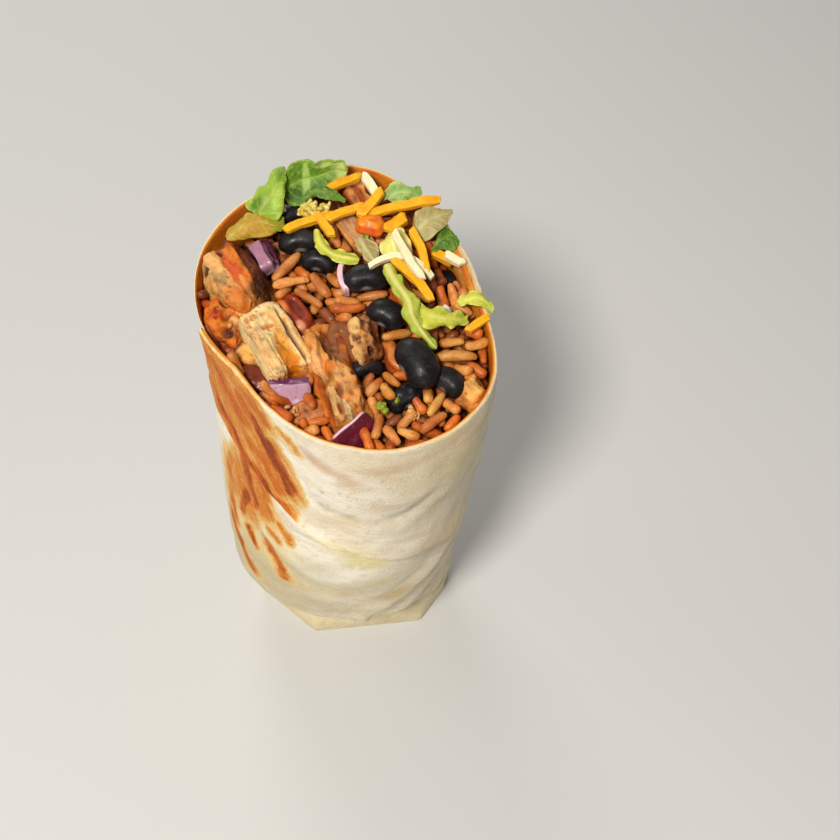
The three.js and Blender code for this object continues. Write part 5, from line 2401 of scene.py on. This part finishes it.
GRILLED = (
    Blotches(AMBER, 3.0, 0.36), Blotches(RUST, 1.8, 0.16, 0.7), Blotches(PALE, 1.7, 0.12, 0.7),
)
STEWED = (
    Blotches(AMBER, 2.6, 0.34), Blotches(SCARLET, 2.0, 0.16), Blotches(UMBER, 1.4, 0.14),
)
CHARRED = (Blotches(UMBER, 2.4, 0.3), Blotches(SOOT, 1.6, 0.2), Blotches(PALE, 1.4, 0.12, 0.7))
CHICKEN_CHUNKS = (
    # chicken_chunk_1: its dark right side, the umber band along it and the sooty far corner are
    # partly browned crust and partly painted shade on the side turned from the light.
    Chunk(
        Lie(-54), (20, 13.4, 12), Sides(PALE, UMBER, TAN, TAN), seed=1, cuts=42, fibre=0.1,
        knobs=0.4, pores=0.55, blotches=GRILLED,
        patches=(
            Patch(-0.30, -0.62, 0.75, 0.5, PALE, 0.5, 0.75),
            Patch(0.25, -0.95, 0.5, 0.5, TAN, 0.4, 0.7),
            Patch(-0.15, 0.72, 1.1, 0.42, UMBER, -0.3, 0.95),
            Patch(0.75, 0.55, 0.5, 0.5, SOOT, -0.8, 0.9),
            Patch(0.05, 0.02, 0.85, 0.24, SCARLET, -0.7, 0.75),
            Patch(-0.62, 0.36, 0.5, 0.16, RUST, 0.9, 0.8),
            Patch(-0.05, 0.30, 0.6, 0.13, AMBER, 0.9, 0.9),
            Patch(0.45, 0.05, 0.4, 0.14, TAN, 0.7, 0.8),
            Patch(-0.64, -0.05, 0.14, 0.12, SOOT, -0.6),
            Patch(0.6, -0.55, 0.35, 0.4, AMBER, 0.6, 0.7),
            Patch(-0.5, -0.75, 0.14, 0.12, SOOT, -0.7),
            Patch(-0.85, 0.15, 0.2, 0.3, UMBER, -0.4, 0.8),
        ),
    ),
    Chunk(
        Lie(-48), (11, 8, 8), Sides(RUST, RUST, AMBER, AMBER), seed=2, lumps=0.12, cuts=30,
        knobs=0.6, pores=0.7, pore_size=1.7, blotches=STEWED,
        patches=(
            Patch(-0.4, -0.3, 0.4, 0.4, SCARLET, 0.5), Patch(0.3, 0.3, 0.3, 0.3, PALE, 0.6, 0.7),
            Patch(0.5, -0.5, 0.3, 0.3, UMBER, -0.6), Patch(-0.6, 0.6, 0.3, 0.3, UMBER, -0.8),
        ),
    ),
    Chunk(
        Lie(-60, -14), (19, 10.6, 9), Sides(CREAM, UMBER, CREAM, TAN), square=9, seed=0.4, cuts=42,
        lumps=0.035, fibre=0.06, knobs=0.3, pores=0.4,
        blotches=(Blotches(AMBER, 2.2, 0.2, 0.7), Blotches(TAN, 1.6, 0.2)),
        patches=(
            Patch(0.55, 0.02, 0.80, 0.42, GLAZE, -0.7, 1.0),
            Patch(0.95, 0.0, 0.3, 0.36, rgb(214, 120, 26), -0.3),
            Patch(0.10, 0.25, 0.40, 0.3, rgb(238, 170, 60), -0.5, 0.9),
            Patch(-0.32, -0.1, 0.08, 0.42, AMBER, -0.4), Patch(0.15, 0.60, 0.95, 0.09, UMBER, -0.9),
            Patch(0.35, 0.80, 0.9, 0.16, PALE, 0.7), Patch(0.45, -0.55, 0.7, 0.12, PALE, 0.6),
            Patch(-0.55, 0.3, 0.3, 0.3, rgb(240, 196, 120), 0.2, 0.8),
            Patch(0.25, -0.80, 0.9, 0.22, rgb(226, 176, 108), 0.0, 0.7),
        ),
    ),
    Chunk(
        Lie(-71), (27.4, 9.6, 9), Sides(AMBER, RUST, TAN, TAN), square=3.4, seed=5, cuts=46,
        lumps=0.12, fibre=0.08, knobs=0.5, pores=0.6, pore_size=1.7, blotches=GRILLED,
        patches=(
            Patch(-0.62, 0.30, 0.42, 0.55, UMBER, -1.7, 0.85),
            Patch(-0.42, 0.45, 0.3, 0.4, rgb(150, 92, 48), -0.6),
            Patch(-0.66, -0.58, 0.42, 0.26, TAN, 0.9, 0.8),
            Patch(-0.25, -0.60, 0.3, 0.26, rgb(236, 176, 110), 1.1),
            Patch(-0.05, -0.15, 0.2, 0.35, AMBER, 0.9, 0.9),
            Patch(0.18, 0.25, 0.28, 0.5, rgb(238, 178, 106), 1.1, 0.8),
            Patch(0.45, -0.45, 0.4, 0.35, PALE, 0.5, 0.7),
            Patch(0.42, 0.52, 0.3, 0.36, rgb(232, 160, 84), 0.8),
            Patch(0.30, -0.10, 0.16, 0.2, RUST, -0.6, 0.8),
            Patch(0.68, 0.0, 0.25, 0.2, CREAM, 0.4, 0.7),
            Patch(0.82, 0.45, 0.25, 0.3, AMBER, 0.5, 0.8),
            Patch(0.10, -0.85, 0.8, 0.18, RUST, 0.0, 0.7), Patch(-0.30, 0.0, 0.12, 0.1, SOOT, -0.8),
            Patch(0.62, -0.35, 0.1, 0.12, RUST, -0.4),
        ),
    ),
    Chunk(
        Lie(-68), (11, 7.4, 6.4), Sides(UMBER, UMBER, rgb(140, 84, 46), RUST), seed=6, cuts=24,
        fibre=0.12, knobs=0.3, blotches=(Blotches(UMBER, 2.4, 0.2), Blotches(TAN, 1.4, 0.05)),
    ),
    Chunk(
        Lie(-75), (11.2, 6.2, 7), Sides(PALE, UMBER, rgb(176, 120, 66), UMBER), seed=7, cuts=30,
        fibre=0.2, knobs=0.55, pores=0.6, blotches=CHARRED,
        patches=(
            Patch(-0.5, -0.5, 0.6, 0.4, PALE, 0.5, 0.8), Patch(0.1, -0.2, 0.4, 0.3, TAN, 0.5, 0.8),
            Patch(0.1, 0.7, 0.8, 0.3, UMBER, -0.4), Patch(0.72, 0.1, 0.2, 0.26, SOOT, -0.9),
        ),
    ),
    Chunk(
        Lie(14), (8.6, 6, 6), Sides(TAN, RUST, rgb(210, 140, 88), RUST), seed=8, cuts=24, knobs=0.5,
        pores=0.5, blotches=STEWED,
    ),
    Chunk(
        Lie(-70), (7.6, 7, 7), Sides(AMBER, AMBER, rgb(240, 184, 100), AMBER), seed=9, lumps=0.12,
        cuts=24, knobs=0.6, pores=0.3,
        blotches=(Blotches(AMBER, 2.0, 0.25), Blotches(CREAM, 1.4, 0.1)),
    ),
    Chunk(
        Lie(-28), (7.2, 5.2, 6), Sides(TAN, UMBER, rgb(232, 182, 96), UMBER), seed=10, cuts=24,
        knobs=0.55, pores=0.5, blotches=GRILLED,
    ),
    Chunk(
        Lie(-62), (8.6, 5.6, 6), Sides(RUST, RUST, TAN, AMBER), seed=11, cuts=24, fibre=0.3,
        knobs=0.3, bands=((-0.3, RUST), (0.25, TAN)), blotches=(Blotches(UMBER, 2.0, 0.1),),
    ),
    Chunk(
        Lie(-52), (12, 4.6, 4.4), Sides(TAN, UMBER, rgb(206, 158, 110), TAN), square=4, seed=13,
        cuts=24, fibre=0.35, blotches=(Blotches(RUST, 2.0, 0.12), Blotches(PALE, 1.4, 0.1)),
    ),
)
PLUM = rgb(84, 18, 52)
LILAC = rgb(190, 152, 178)
BLUSH = rgb(230, 196, 206)
MAUVE = rgb(202, 166, 184)
ONION_SLICES = (
    Chunk(
        Lie(-62, 10), (7.2, 4.8, 5.2), Sides(LILAC, PLUM, rgb(170, 120, 140), LILAC), square=9,
        lumps=0.02, cuts=20, knobs=0.08, bow=0.15, splits=(0.45,), bands=((0.52, PLUM),),
        blotches=(Blotches(BLUSH, 2.0, 0.2), Blotches(PLUM, 1.8, 0.05)),
    ),
    Chunk(
        Lie(2, -30), (9.4, 2.8, 7.4), Sides(MAUVE, PLUM, rgb(108, 48, 92), LILAC), square=9,
        lumps=0.02, cuts=22, knobs=0.08, bow=-0.14, drop=-1.0,
        blotches=(Blotches(rgb(150, 104, 140), 2.6, 0.22), Blotches(rgb(232, 218, 226), 2.4, 0.16)),
    ),
    Chunk(
        Lie(43, -38), (10, 1.1, 8), Sides(rgb(104, 22, 44), PLUM, BLUSH, PLUM), square=9,
        lumps=0.02, cuts=22, knobs=0.06, bow=-0.08, drop=-2.6,
        blotches=(Blotches(rgb(120, 30, 60), 2.4, 0.1, 0.6),),
    ),
    Chunk(
        Lie(-84), (8, 1.4, 4.6), Sides(BLUSH, BLUSH, BLUSH, BLUSH), square=8, lumps=0.02, cuts=14,
        knobs=0.06, bow=-0.3, blotches=(Blotches(rgb(236, 180, 160), 1.6, 0.2),),
    ),
)
CHILLI = rgb(154, 54, 20)
BRICK = rgb(120, 44, 20)
ROASTED = (Blotches(BRICK, 2.2, 0.25), Blotches(rgb(214, 120, 56), 1.8, 0.12, 0.7))
PEPPER_BITS = (
    Chunk(
        Lie(-54), (10.6, 6.6, 5.4), Sides(rgb(206, 112, 50), UMBER, CHILLI, CHILLI), seed=1,
        square=3.8, cuts=24, knobs=0.2, blotches=ROASTED,
        patches=(
            Patch(-0.5, -0.5, 0.5, 0.4, rgb(216, 122, 56), 0.2),
            Patch(0.8, -0.3, 0.3, 0.4, rgb(226, 150, 110), 0.3),
            Patch(0.0, 0.3, 0.7, 0.4, rgb(112, 36, 16), -0.5),
        ),
    ),
    Chunk(
        Lie(-42), (9, 5, 6), Sides(UMBER, SOOT, rgb(116, 44, 22), UMBER), seed=2, cuts=22,
        knobs=0.25, blotches=(Blotches(SOOT, 2.2, 0.2),),
    ),
    Chunk(
        Lie(-66), (9.2, 4.4, 5), Sides(RUST, CHILLI, rgb(206, 124, 52), RUST), seed=3, cuts=22,
        knobs=0.2, blotches=(Blotches(RUST, 2.2, 0.15),),
    ),
    Chunk(
        Lie(-17), (6, 4.4, 5), Sides(RUST, UMBER, rgb(170, 86, 40), RUST), seed=4, cuts=20,
        knobs=0.25, blotches=ROASTED,
    ),
    Chunk(
        Lie(-15), (6.8, 5.2, 4), Sides(rgb(232, 96, 30), CHILLI, rgb(242, 146, 34), AMBER), seed=5,
        cuts=22, knobs=0.22, blotches=(Blotches(rgb(234, 104, 34), 2.0, 0.2),),
    ),
)
BLACK_BEANS = (
    Bean(Lie(4), (10.6, 6.4, 6), seed=1),
    Bean(Lie(25), (10, 6.2, 6), seed=2),
    Bean(Lie(-12), (8.4, 6, 6), seed=3),
    Bean(Lie(6), (10.6, 6.8, 6.4), seed=4),
    Bean(Lie(-25), (9.4, 7.2, 6.6), seed=5),
    Bean(Lie(-60), (13.2, 8.8, 7.6), bend=0.03, seed=6),
    Bean(Lie(-38), (8.6, 6.2, 6), seed=7),
    Bean(Lie(24), (9.4, 6.6, 5.6), wrinkle=0.45, seed=8),
    Bean(Lie(27), (9.5, 6.4, 6), seed=9),
    Bean(Lie(20), (9, 5.6, 5.6), seed=10),
)
FRESH = LeafTint(rgb(88, 130, 12), rgb(134, 166, 46), rgb(150, 180, 66), rgb(194, 200, 118))
LIGHT = LeafTint(rgb(142, 174, 46), rgb(174, 194, 84), rgb(178, 196, 92), rgb(128, 166, 36))
OLIVE = LeafTint(rgb(178, 144, 34), rgb(194, 164, 62), rgb(198, 170, 66), rgb(160, 136, 30))
DARK = LeafTint(rgb(70, 110, 16), rgb(112, 146, 36), rgb(124, 156, 48), rgb(88, 128, 22))
LIME = LeafTint(rgb(190, 192, 52), rgb(222, 220, 120), rgb(220, 216, 108), rgb(158, 176, 40))
PALE_LEAF = LeafTint(rgb(216, 208, 108), rgb(230, 222, 150), rgb(232, 226, 160), rgb(204, 200, 92))
FROST = LeafTint(rgb(174, 160, 102), rgb(200, 186, 134), rgb(202, 190, 138), rgb(160, 146, 90))
TEAL = LeafTint(rgb(136, 168, 80), rgb(186, 200, 130), rgb(180, 196, 124), rgb(116, 154, 66))
RIBBED = LeafTint(rgb(170, 180, 56), rgb(112, 146, 26), rgb(216, 208, 124), rgb(158, 174, 42))
LETTUCE_LEAVES = (
    Leaf(
        LIGHT,
        (
            ((-5.8, -0.5, -0.7), (-1.8, -3.6, -0.2), (2.2, -5.4, -1.2)),
            ((-2.0, 2.5, 0.8), (0.7, -1.4, 2.3), (4.2, -3.9, 0.8)),
            ((1.3, 6.0, 1.8), (3.0, 2.0, 3.3), (4.7, -0.4, 2.3)),
            ((3.8, 8.4, 1.8), (4.4, 6.7, 2.8), (4.7, 5.1, 2.8)),
        ),
        patches=(
            Patch(-0.75, -0.3, 0.4, 0.5, rgb(84, 128, 22)),
            Patch(0.75, -0.2, 0.4, 0.6, rgb(96, 138, 26)),
            Patch(0.0, 0.5, 0.5, 0.4, rgb(176, 202, 84), share=0.7),
        ), seed=1,
    ),
    Leaf(
        FRESH,
        (
            ((-7.3, 4.5, -0.2), (-7.5, 1.4, -3.2), (-7.5, -1.9, -5.7)),
            ((-3.9, 5.4, 1.3), (-3.7, 3.4, -3.0), (-3.5, -1.6, -5.7)),
            ((0.6, 4.8, 1.3), (0.4, 3.8, -2.2), (0.5, 0.5, -4.7)),
            ((5.2, 5.6, 0.8), (4.6, 5.0, -1.7), (4.1, 1.8, -3.7)),
            ((7.8, 4.8, -0.2), (7.5, 4.7, -1.7), (6.8, 3.4, -2.7)),
        ),
        patches=(
            Patch(-0.34, 0.0, 0.14, 1.4, rgb(184, 204, 116), share=0.7),
            # Painted shade: the darkest green patch stands for the leaf's shadowed part.
            Patch(-0.9, 0.6, 0.4, 0.7, rgb(58, 96, 10)),
            Patch(0.3, -0.7, 0.6, 0.3, rgb(190, 206, 120), share=0.8),
            Patch(0.0, 0.7, 0.5, 0.4, rgb(80, 122, 14), share=0.8),
        ), seed=2,
    ),
    Leaf(
        OLIVE,
        (
            ((-6.4, -2.7, 0.2), (-6.4, -3.5, 0.2), (-6.2, -3.6, -0.3)),
            ((-3.3, 1.6, 0.7), (-2.5, -1.8, 1.7), (-2.0, -3.3, -0.3)),
            ((0.4, 3.5, 0.7), (1.2, -0.4, 1.9), (2.0, -3.0, -0.1)),
            ((4.1, 2.9, 0.2), (4.9, -0.9, 1.2), (5.3, -1.7, -0.1)),
            ((6.9, 2.5, -0.3), (7.1, 0.8, 0.1), (7.1, -0.2, -0.3)),
        ),
        patches=(
            Patch(0.05, 0.0, 0.12, 0.22, rgb(150, 84, 20)),
            Patch(-0.3, 0.2, 0.6, 0.6, rgb(190, 138, 36), share=0.7),
            Patch(0.7, 0.0, 0.4, 1.0, rgb(150, 158, 30), share=0.8),
        ), seed=3,
    ),
    Leaf(
        DARK,
        (
            ((-7.6, 1.0, -0.3), (-7.3, 0.2, -0.3), (-7.1, -0.2, -0.8)),
            ((-4.7, 2.8, 0.7), (-4.5, 1.7, 0.7), (-4.0, 1.2, -0.3)),
            ((-1.4, 2.3, 0.7), (-1.1, 0.9, 0.7), (-1.0, 0.4, -0.3)),
            ((2.8, 0.4, -0.3), (2.8, -0.1, -0.3), (2.6, -0.5, -0.8)),
        ), seed=4,
    ),
    Leaf(
        LIME,
        (
            ((-6.4, 5.4, -0.7), (-5.4, 4.9, -0.4), (-4.5, 4.6, -0.7)),
            ((-5.8, 1.0, -0.7), (-4.3, 0.9, -0.0), (-3.0, 1.7, -0.7)),
            ((-2.7, -1.9, -1.0), (-1.7, -1.5, -0.2), (-0.6, 0.3, -0.8)),
            ((1.3, -3.3, -1.2), (1.6, -2.4, -0.4), (2.0, -0.4, -1.0)),
            ((4.3, -3.4, -1.4), (4.6, -2.5, -1.2), (4.5, -1.4, -1.4)),
        ), seed=5,
    ),
    Leaf(
        FROST,
        (
            ((-3.0, 2.3, 0.5), (-1.6, 2.2, 1.0), (-0.2, 2.3, 0.5)),
            ((-1.6, -1.0, 0.4), (-0.1, -0.8, 1.2), (2.4, 1.1, 0.8)),
            ((0.6, -3.7, 0.2), (1.8, -3.6, 0.8), (3.1, -2.7, 0.6)),
        ), seed=6,
    ),
    Leaf(
        PALE_LEAF,
        (
            ((-1.3, 3.6, 0.8), (0.1, 4.0, 1.4), (1.7, 4.4, 0.8)),
            ((-3.7, 0.4, 0.6), (-0.4, -0.4, 2.0), (3.6, 0.9, 1.0)),
            ((-3.2, -2.5, 0.3), (0.6, -3.6, 1.4), (4.8, -2.8, 0.4)),
        ), seed=7,
    ),
    Leaf(
        RIBBED,
        (
            ((-6.4, 9.7, 1.0), (-5.3, 9.9, 1.4), (-4.2, 10.6, 0.8)),
            ((-4.8, 5.4, 0.6), (-3.2, 5.3, 1.8), (-1.6, 6.3, 0.8)),
            ((-2.0, 0.7, 0.2), (-0.2, 0.9, 1.6), (1.6, 2.2, 0.6)),
            ((-1.1, -3.5, -0.2), (1.0, -3.2, 1.2), (3.5, -1.3, 0.2)),
            ((2.5, -6.9, -0.8), (3.4, -6.5, -0.0), (4.8, -5.1, -0.6)),
            ((6.2, -9.7, -1.4), (6.6, -9.5, -1.4), (6.8, -8.7, -1.4)),
        ), ruffle=0.55, ragged=0.22, thick=0.36, seed=8,
    ),
    Leaf(
        LIME,
        (
            ((-6.0, 4.6, -0.3), (-6.2, 2.5, -0.1), (-6.4, 0.5, -0.7)),
            ((-2.8, 3.0, -0.1), (-3.0, -0.2, 0.9), (-3.7, -2.6, -0.5)),
            ((0.4, 2.2, -0.3), (0.4, -0.9, 0.9), (-0.1, -1.7, -0.7)),
            ((3.1, 1.6, -0.5), (3.3, -0.6, 0.1), (3.3, -1.4, -0.9)),
            ((5.4, 1.2, -1.1), (5.6, 0.4, -0.9), (5.4, -0.1, -1.3)),
        ), ruffle=0.55, ragged=0.22, thick=0.36, seed=9,
    ),
    Leaf(
        LIME,
        (
            ((-4.6, 1.6, -0.9), (-4.0, 0.8, -0.9), (-3.3, 0.1, -1.3)),
            ((-1.9, 2.6, -0.3), (-1.7, 0.8, 0.1), (-1.5, 0.3, -0.9)),
            ((1.3, 2.6, 0.1), (1.2, 0.6, 0.7), (1.3, -0.4, -0.3)),
            ((4.4, -1.7, 0.1), (4.4, -2.3, 0.3), (3.9, -2.5, -0.1)),
        ), ruffle=0.55, ragged=0.22, thick=0.36, seed=10,
    ),
    Leaf(
        FROST,
        (
            ((-4.3, 0.5, -0.4), (-3.3, -2.3, -0.3), (-1.7, -5.3, -0.7)),
            ((-2.6, 3.2, 0.5), (-0.8, -0.2, 1.1), (0.9, -3.6, 0.1)),
            ((1.1, 3.0, 0.7), (2.3, 1.1, 1.1), (3.5, -1.2, 0.3)),
            ((5.2, 3.2, 0.5), (5.1, 2.6, 0.5), (4.9, 2.3, 0.3)),
        ), seed=11,
    ),
    Leaf(
        TEAL,
        (
            ((-5.8, -2.1, -0.9), (-3.9, -1.1, -0.5), (-2.5, -1.7, -1.1)),
            ((-2.5, 2.7, 0.1), (-1.3, -0.3, 0.7), (-0.1, -1.4, -0.5)),
            ((1.3, 2.2, 0.3), (1.8, -0.3, 1.1), (2.3, -1.0, -0.3)),
            ((4.4, 2.1, 0.1), (4.6, 1.1, 0.1), (4.9, -0.1, -0.5)),
        ), seed=12,
    ),
    Leaf(
        DARK,
        (
            ((-0.6, -2.7, 2.6), (-1.1, -3.5, 2.6), (-1.3, -4.1, 2.1)),
            ((0.8, 0.6, 3.1), (1.1, -1.8, 3.4), (1.5, -3.7, 2.6)),
            ((2.7, 1.9, 3.1), (3.6, -0.7, 3.4), (3.6, -4.3, 2.6)),
            ((5.1, -1.4, 2.9), (5.3, -2.1, 2.9), (5.1, -3.0, 2.6)),
        ), seed=13,
    ),
)
GOLD = rgb(242, 178, 24)
AMBER_CHEESE = rgb(226, 150, 12)
IVORY = rgb(242, 230, 192)
BUTTER = rgb(230, 212, 158)


def shreds(tint: Colour, deep: Colour, *rows: tuple[float, ...]) -> tuple[Shred, ...]:
    """The shreds of one cheese.

    Args:
        tint: Its lighter tint.
        deep: Its darker tint.
        *rows: Heading, pitch, length, width, depth, bow, arch and drop of each shred.

    Returns:
        The shreds.
    """
    return tuple(
        Shred(Lie(heading, 0.0, pitch), length, tint, deep, *form, number)
        for number, (heading, pitch, length, *form) in enumerate(rows, 1)
    )


ORANGE_SHREDS = shreds(
    GOLD, AMBER_CHEESE, (22, 0, 12, 2, 1.5, 0, 0.4, 1.2), (27, 0, 10.4, 2, 1.5, 0.4, 0, 2.2),
    (25, 0, 9.4, 2, 1.5, 0, 0, 1.2), (-61, 6, 7.8, 2, 1.5, 0.4, 0, 2.2),
    (56, 0, 8.8, 2.4, 1.5, 0, 0, 3.0), (14, 0, 19.6, 2.2, 1.5, 0.8, 0, 1.8),
    (38, 0, 6, 2.8, 2, 0, 0, 0.4), (-73, 0, 12, 2, 1.5, 0.6, 0, 0.8),
    (-50, 0, 14, 2.2, 1.5, 0.5, 0, 1.0), (-28, 0, 6, 2.2, 2, 0, 0, 0),
    (36, 0, 6.4, 1.8, 1.5, 0, 0, 0.4),
)
WHITE_SHREDS = shreds(
    IVORY, BUTTER,
    (-11, 0, 15, 1.8, 1.5, 3.4, 0.6, 3.4), (-62, 0, 14, 1.9, 1.5, -0.4, 0, 3.2),
    (-54, 0, 7, 2.2, 1.5, 0, 0, 0.5), (-36, 0, 5, 2, 1.5, 0, 0, 0),
)


@dataclass(frozen=True)
class Heap:
    """Crumbs heaped round one place: the place, its reach, how many they are and how large."""

    x: float
    y: float
    up: float
    reach: float
    count: int
    size: float


@dataclass(frozen=True)
class Crumbs:
    """Torn bits of one kind, all in one piece."""

    name: str
    finish: Finish
    tint: Colour
    deep: Colour
    heaps: tuple[Heap, ...]
    seed: int = 0

    def build(self) -> None:
        """Makes the bits and gives them to the frame."""
        unit, faces = ball_form("crumb_form", 9, 6)
        random = np.random.default_rng(self.seed)
        blocks = []
        for heap in self.heaps:
            for _ in range(heap.count):
                away = random.normal(0.0, heap.reach * 0.5, 2)
                up = heap.up + random.uniform(-0.5, 0.5) * heap.reach * 0.8
                middle = np.array((heap.x + away[0], heap.y + away[1], 0.0))
                middle[2] = cut_height(middle[0], middle[1]) + up
                stretch = heap.size * 0.5 * random.uniform(0.6, 1.3, 3)
                rough = 1.0 + 0.5 * noise(unit + random.uniform(0.0, 90.0, 3), 0.7, self.seed)
                turn = rotation(2, random.uniform(0.0, 360.0))
                turn = turn @ rotation(0, random.uniform(0.0, 360.0))
                blocks.append(middle + (unit * rough[:, None] * stretch) @ turn.T)
        places = np.array(blocks)
        piece = copies(self.name, faces, places)
        shade = rise(layered(places.reshape(-1, 3), 1.6, 2, self.seed), -0.4, 0.6)
        paint(piece, TINT, mixed(self.tint, self.deep, shade))
        hand_over(piece, self.finish)


CRUMBS = (
    Crumbs(
        "cream_crumbs", WHITE_CHEESE, rgb(240, 220, 132), rgb(214, 182, 70),
        (
            Heap(-4.9, 29.6, 1.6, 2.4, 46, 1.5), Heap(-1.6, 28.8, 1.4, 2.0, 30, 1.4),
            Heap(-3.2, 27.6, 0.8, 1.6, 16, 1.3),
        ), 1,
    ),
    Crumbs(
        "white_crumbs", WHITE_CHEESE, rgb(240, 234, 220), rgb(214, 206, 196),
        (Heap(-10.9, 29.3, 1.9, 0.9, 9, 0.8), Heap(28.4, 4.6, -0.2, 1.6, 5, 1.7)), 2,
    ),
    Crumbs(
        "green_crumbs", LETTUCE, rgb(150, 166, 40), rgb(110, 130, 28),
        (
            Heap(12.9, -16.7, -2.4, 0.9, 8, 1.5), Heap(16.4, -15.0, -2.8, 0.5, 3, 1.0),
            Heap(8.6, 24.0, 0.4, 0.8, 4, 1.2),
        ), 3,
    ),
    Crumbs(
        "chicken_crumbs", CHICKEN, rgb(232, 176, 108), rgb(186, 96, 40),
        (
            Heap(-22.0, 9.0, -1.8, 2.6, 26, 1.6), Heap(-19.6, 3.4, -2.4, 2.2, 20, 1.5),
            Heap(-24.6, 5.6, -3.0, 2.0, 16, 1.4), Heap(-7.4, -18.8, -2.6, 2.0, 18, 1.5),
            Heap(-3.6, -1.2, -1.0, 1.4, 12, 1.2), Heap(20.0, -18.6, -3.2, 1.3, 8, 2.0),
            Heap(-15.6, 1.0, -1.2, 1.4, 10, 1.2), Heap(6.8, -12.6, -3.4, 1.0, 8, 1.6),
        ), 4,
    ),
)


@dataclass(frozen=True)
class Batch:
    """Pieces of one kind: the first words of their solids and of their names, and their finish."""

    solid: str
    name: str
    finish: Finish
    pieces: tuple[Piece, ...]

    def build(self) -> list[Core]:
        """Makes the pieces and gives them to the frame.

        Returns:
            Those that the rice has to mind.
        """
        cores = []
        for number, form in enumerate(self.pieces, 1):
            piece = replace(form, node=f"{self.solid}_{number}", name=f"{self.name}_{number}")
            hand_over(piece.shape(), self.finish, piece.node)
            cores.append(piece.core())
        return [core for core in cores if core]


@dataclass
class Filling:
    """All that lies in the cut face."""

    batches: tuple[Batch, ...] = (
        Batch("chicken", "chicken_chunk", CHICKEN, CHICKEN_CHUNKS),
        Batch("onion", "onion_slice", ONION, ONION_SLICES),
        Batch("pepper", "pepper_bit", PEPPER, PEPPER_BITS),
        Batch("bean", "black_bean", BEAN, BLACK_BEANS),
        Batch("lettuce", "leaf", LETTUCE, LETTUCE_LEAVES),
        Batch("orange_cheese", "orange_shred", ORANGE_CHEESE, ORANGE_SHREDS),
        Batch("white_cheese", "white_shred", WHITE_CHEESE, WHITE_SHREDS),
    )

    def build(self) -> None:
        """Makes every piece of the filling."""
        cores = [core for batch in self.batches for core in batch.build()]
        for crumbs in CRUMBS:
            crumbs.build()
        rice = Rice(cores)
        rice.build_core()
        rice.build_grains()


# ---------------------------------------------------------------------------------------------
# Floor, light and camera
# ---------------------------------------------------------------------------------------------
@dataclass(frozen=True)
class Lamp:
    """A soft lamp that looks at the middle of the burrito."""

    name: str
    place: tuple[float, float, float]
    size: float
    power: float
    warmth: Colour = (1.0, 1.0, 1.0)

    def hang(self, aim: Array) -> None:
        """Adds the lamp.

        Args:
            aim: Where it points.
        """
        light = bpy.data.lights.new(self.name, "AREA")
        light.shape = "DISK"
        light.size = self.size
        light.energy = self.power
        light.color = self.warmth
        lamp = bpy.data.objects.new(self.name, light)
        bpy.context.scene.collection.objects.link(lamp)
        away = np.array(self.place) - aim
        flat = math.hypot(away[0], away[1])
        lamp.location = self.place
        lamp.rotation_euler = (math.atan2(flat, away[2]), 0.0, math.atan2(away[0], -away[1]))


@dataclass
class Studio:
    """The plain floor, the soft light and the camera."""

    elevation_deg: float = 54.0
    camera_place: tuple[float, float, float] = (0.0215, -0.17763, 0.32652)
    sensor: float = 36.0
    lens_to_sensor: float = 10.0 / 7.0
    sky: float = 0.25
    sky_tint: Colour = (1.0, 0.985, 0.96)
    floor_size: float = 8.0
    aim_share: float = 0.7
    lamps: tuple[Lamp, ...] = (
        Lamp("key", (-0.17, -0.42, 0.72), 0.18, 6.1, (1.0, 0.965, 0.90)),
        Lamp("back", (-0.25, 0.7, 0.55), 0.4, 2.2, (1.0, 0.985, 0.95)),
        Lamp("left", (-0.7, 0.2, 0.6), 0.4, 0.45, (1.0, 0.98, 0.95)),
    )

    def build(self) -> None:
        """Adds the floor, the lamps, the sky and the camera."""
        divisions = {"x_subdivisions": 2, "y_subdivisions": 2}
        floor = begin(Start.SHEET, "floor", size=self.floor_size, **divisions)
        floor.data.materials.append(Ground().material())
        floor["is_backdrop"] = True
        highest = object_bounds()[1][2]
        aim = np.array([0.0, 0.0, highest * self.aim_share])
        for lamp in self.lamps:
            lamp.hang(aim)
        world = bpy.data.worlds.new("sky")
        world.use_nodes = True
        background = world.node_tree.nodes["Background"]
        background.inputs[0].default_value = (*self.sky_tint, 1.0)
        background.inputs[1].default_value = self.sky
        bpy.context.scene.world = world
        bpy.context.scene.view_settings.view_transform = "Standard"
        camera_data = bpy.data.cameras.new("camera")
        camera_data.sensor_width = self.sensor
        camera_data.lens = self.lens_to_sensor * self.sensor
        camera = bpy.data.objects.new("camera", camera_data)
        camera.location = self.camera_place
        camera.rotation_euler = (math.radians(90.0 - self.elevation_deg), 0.0, 0.0)
        bpy.context.scene.collection.objects.link(camera)
        bpy.context.scene.camera = camera


def main() -> None:
    """Builds every piece in order."""
    logging.basicConfig(level=logging.INFO, format="%(message)s")
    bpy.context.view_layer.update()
    hand_over(Wrap().build(), Tortilla(), "tortilla")
    Filling().build()
    Studio().build()


if __name__ == "__main__":
    main()
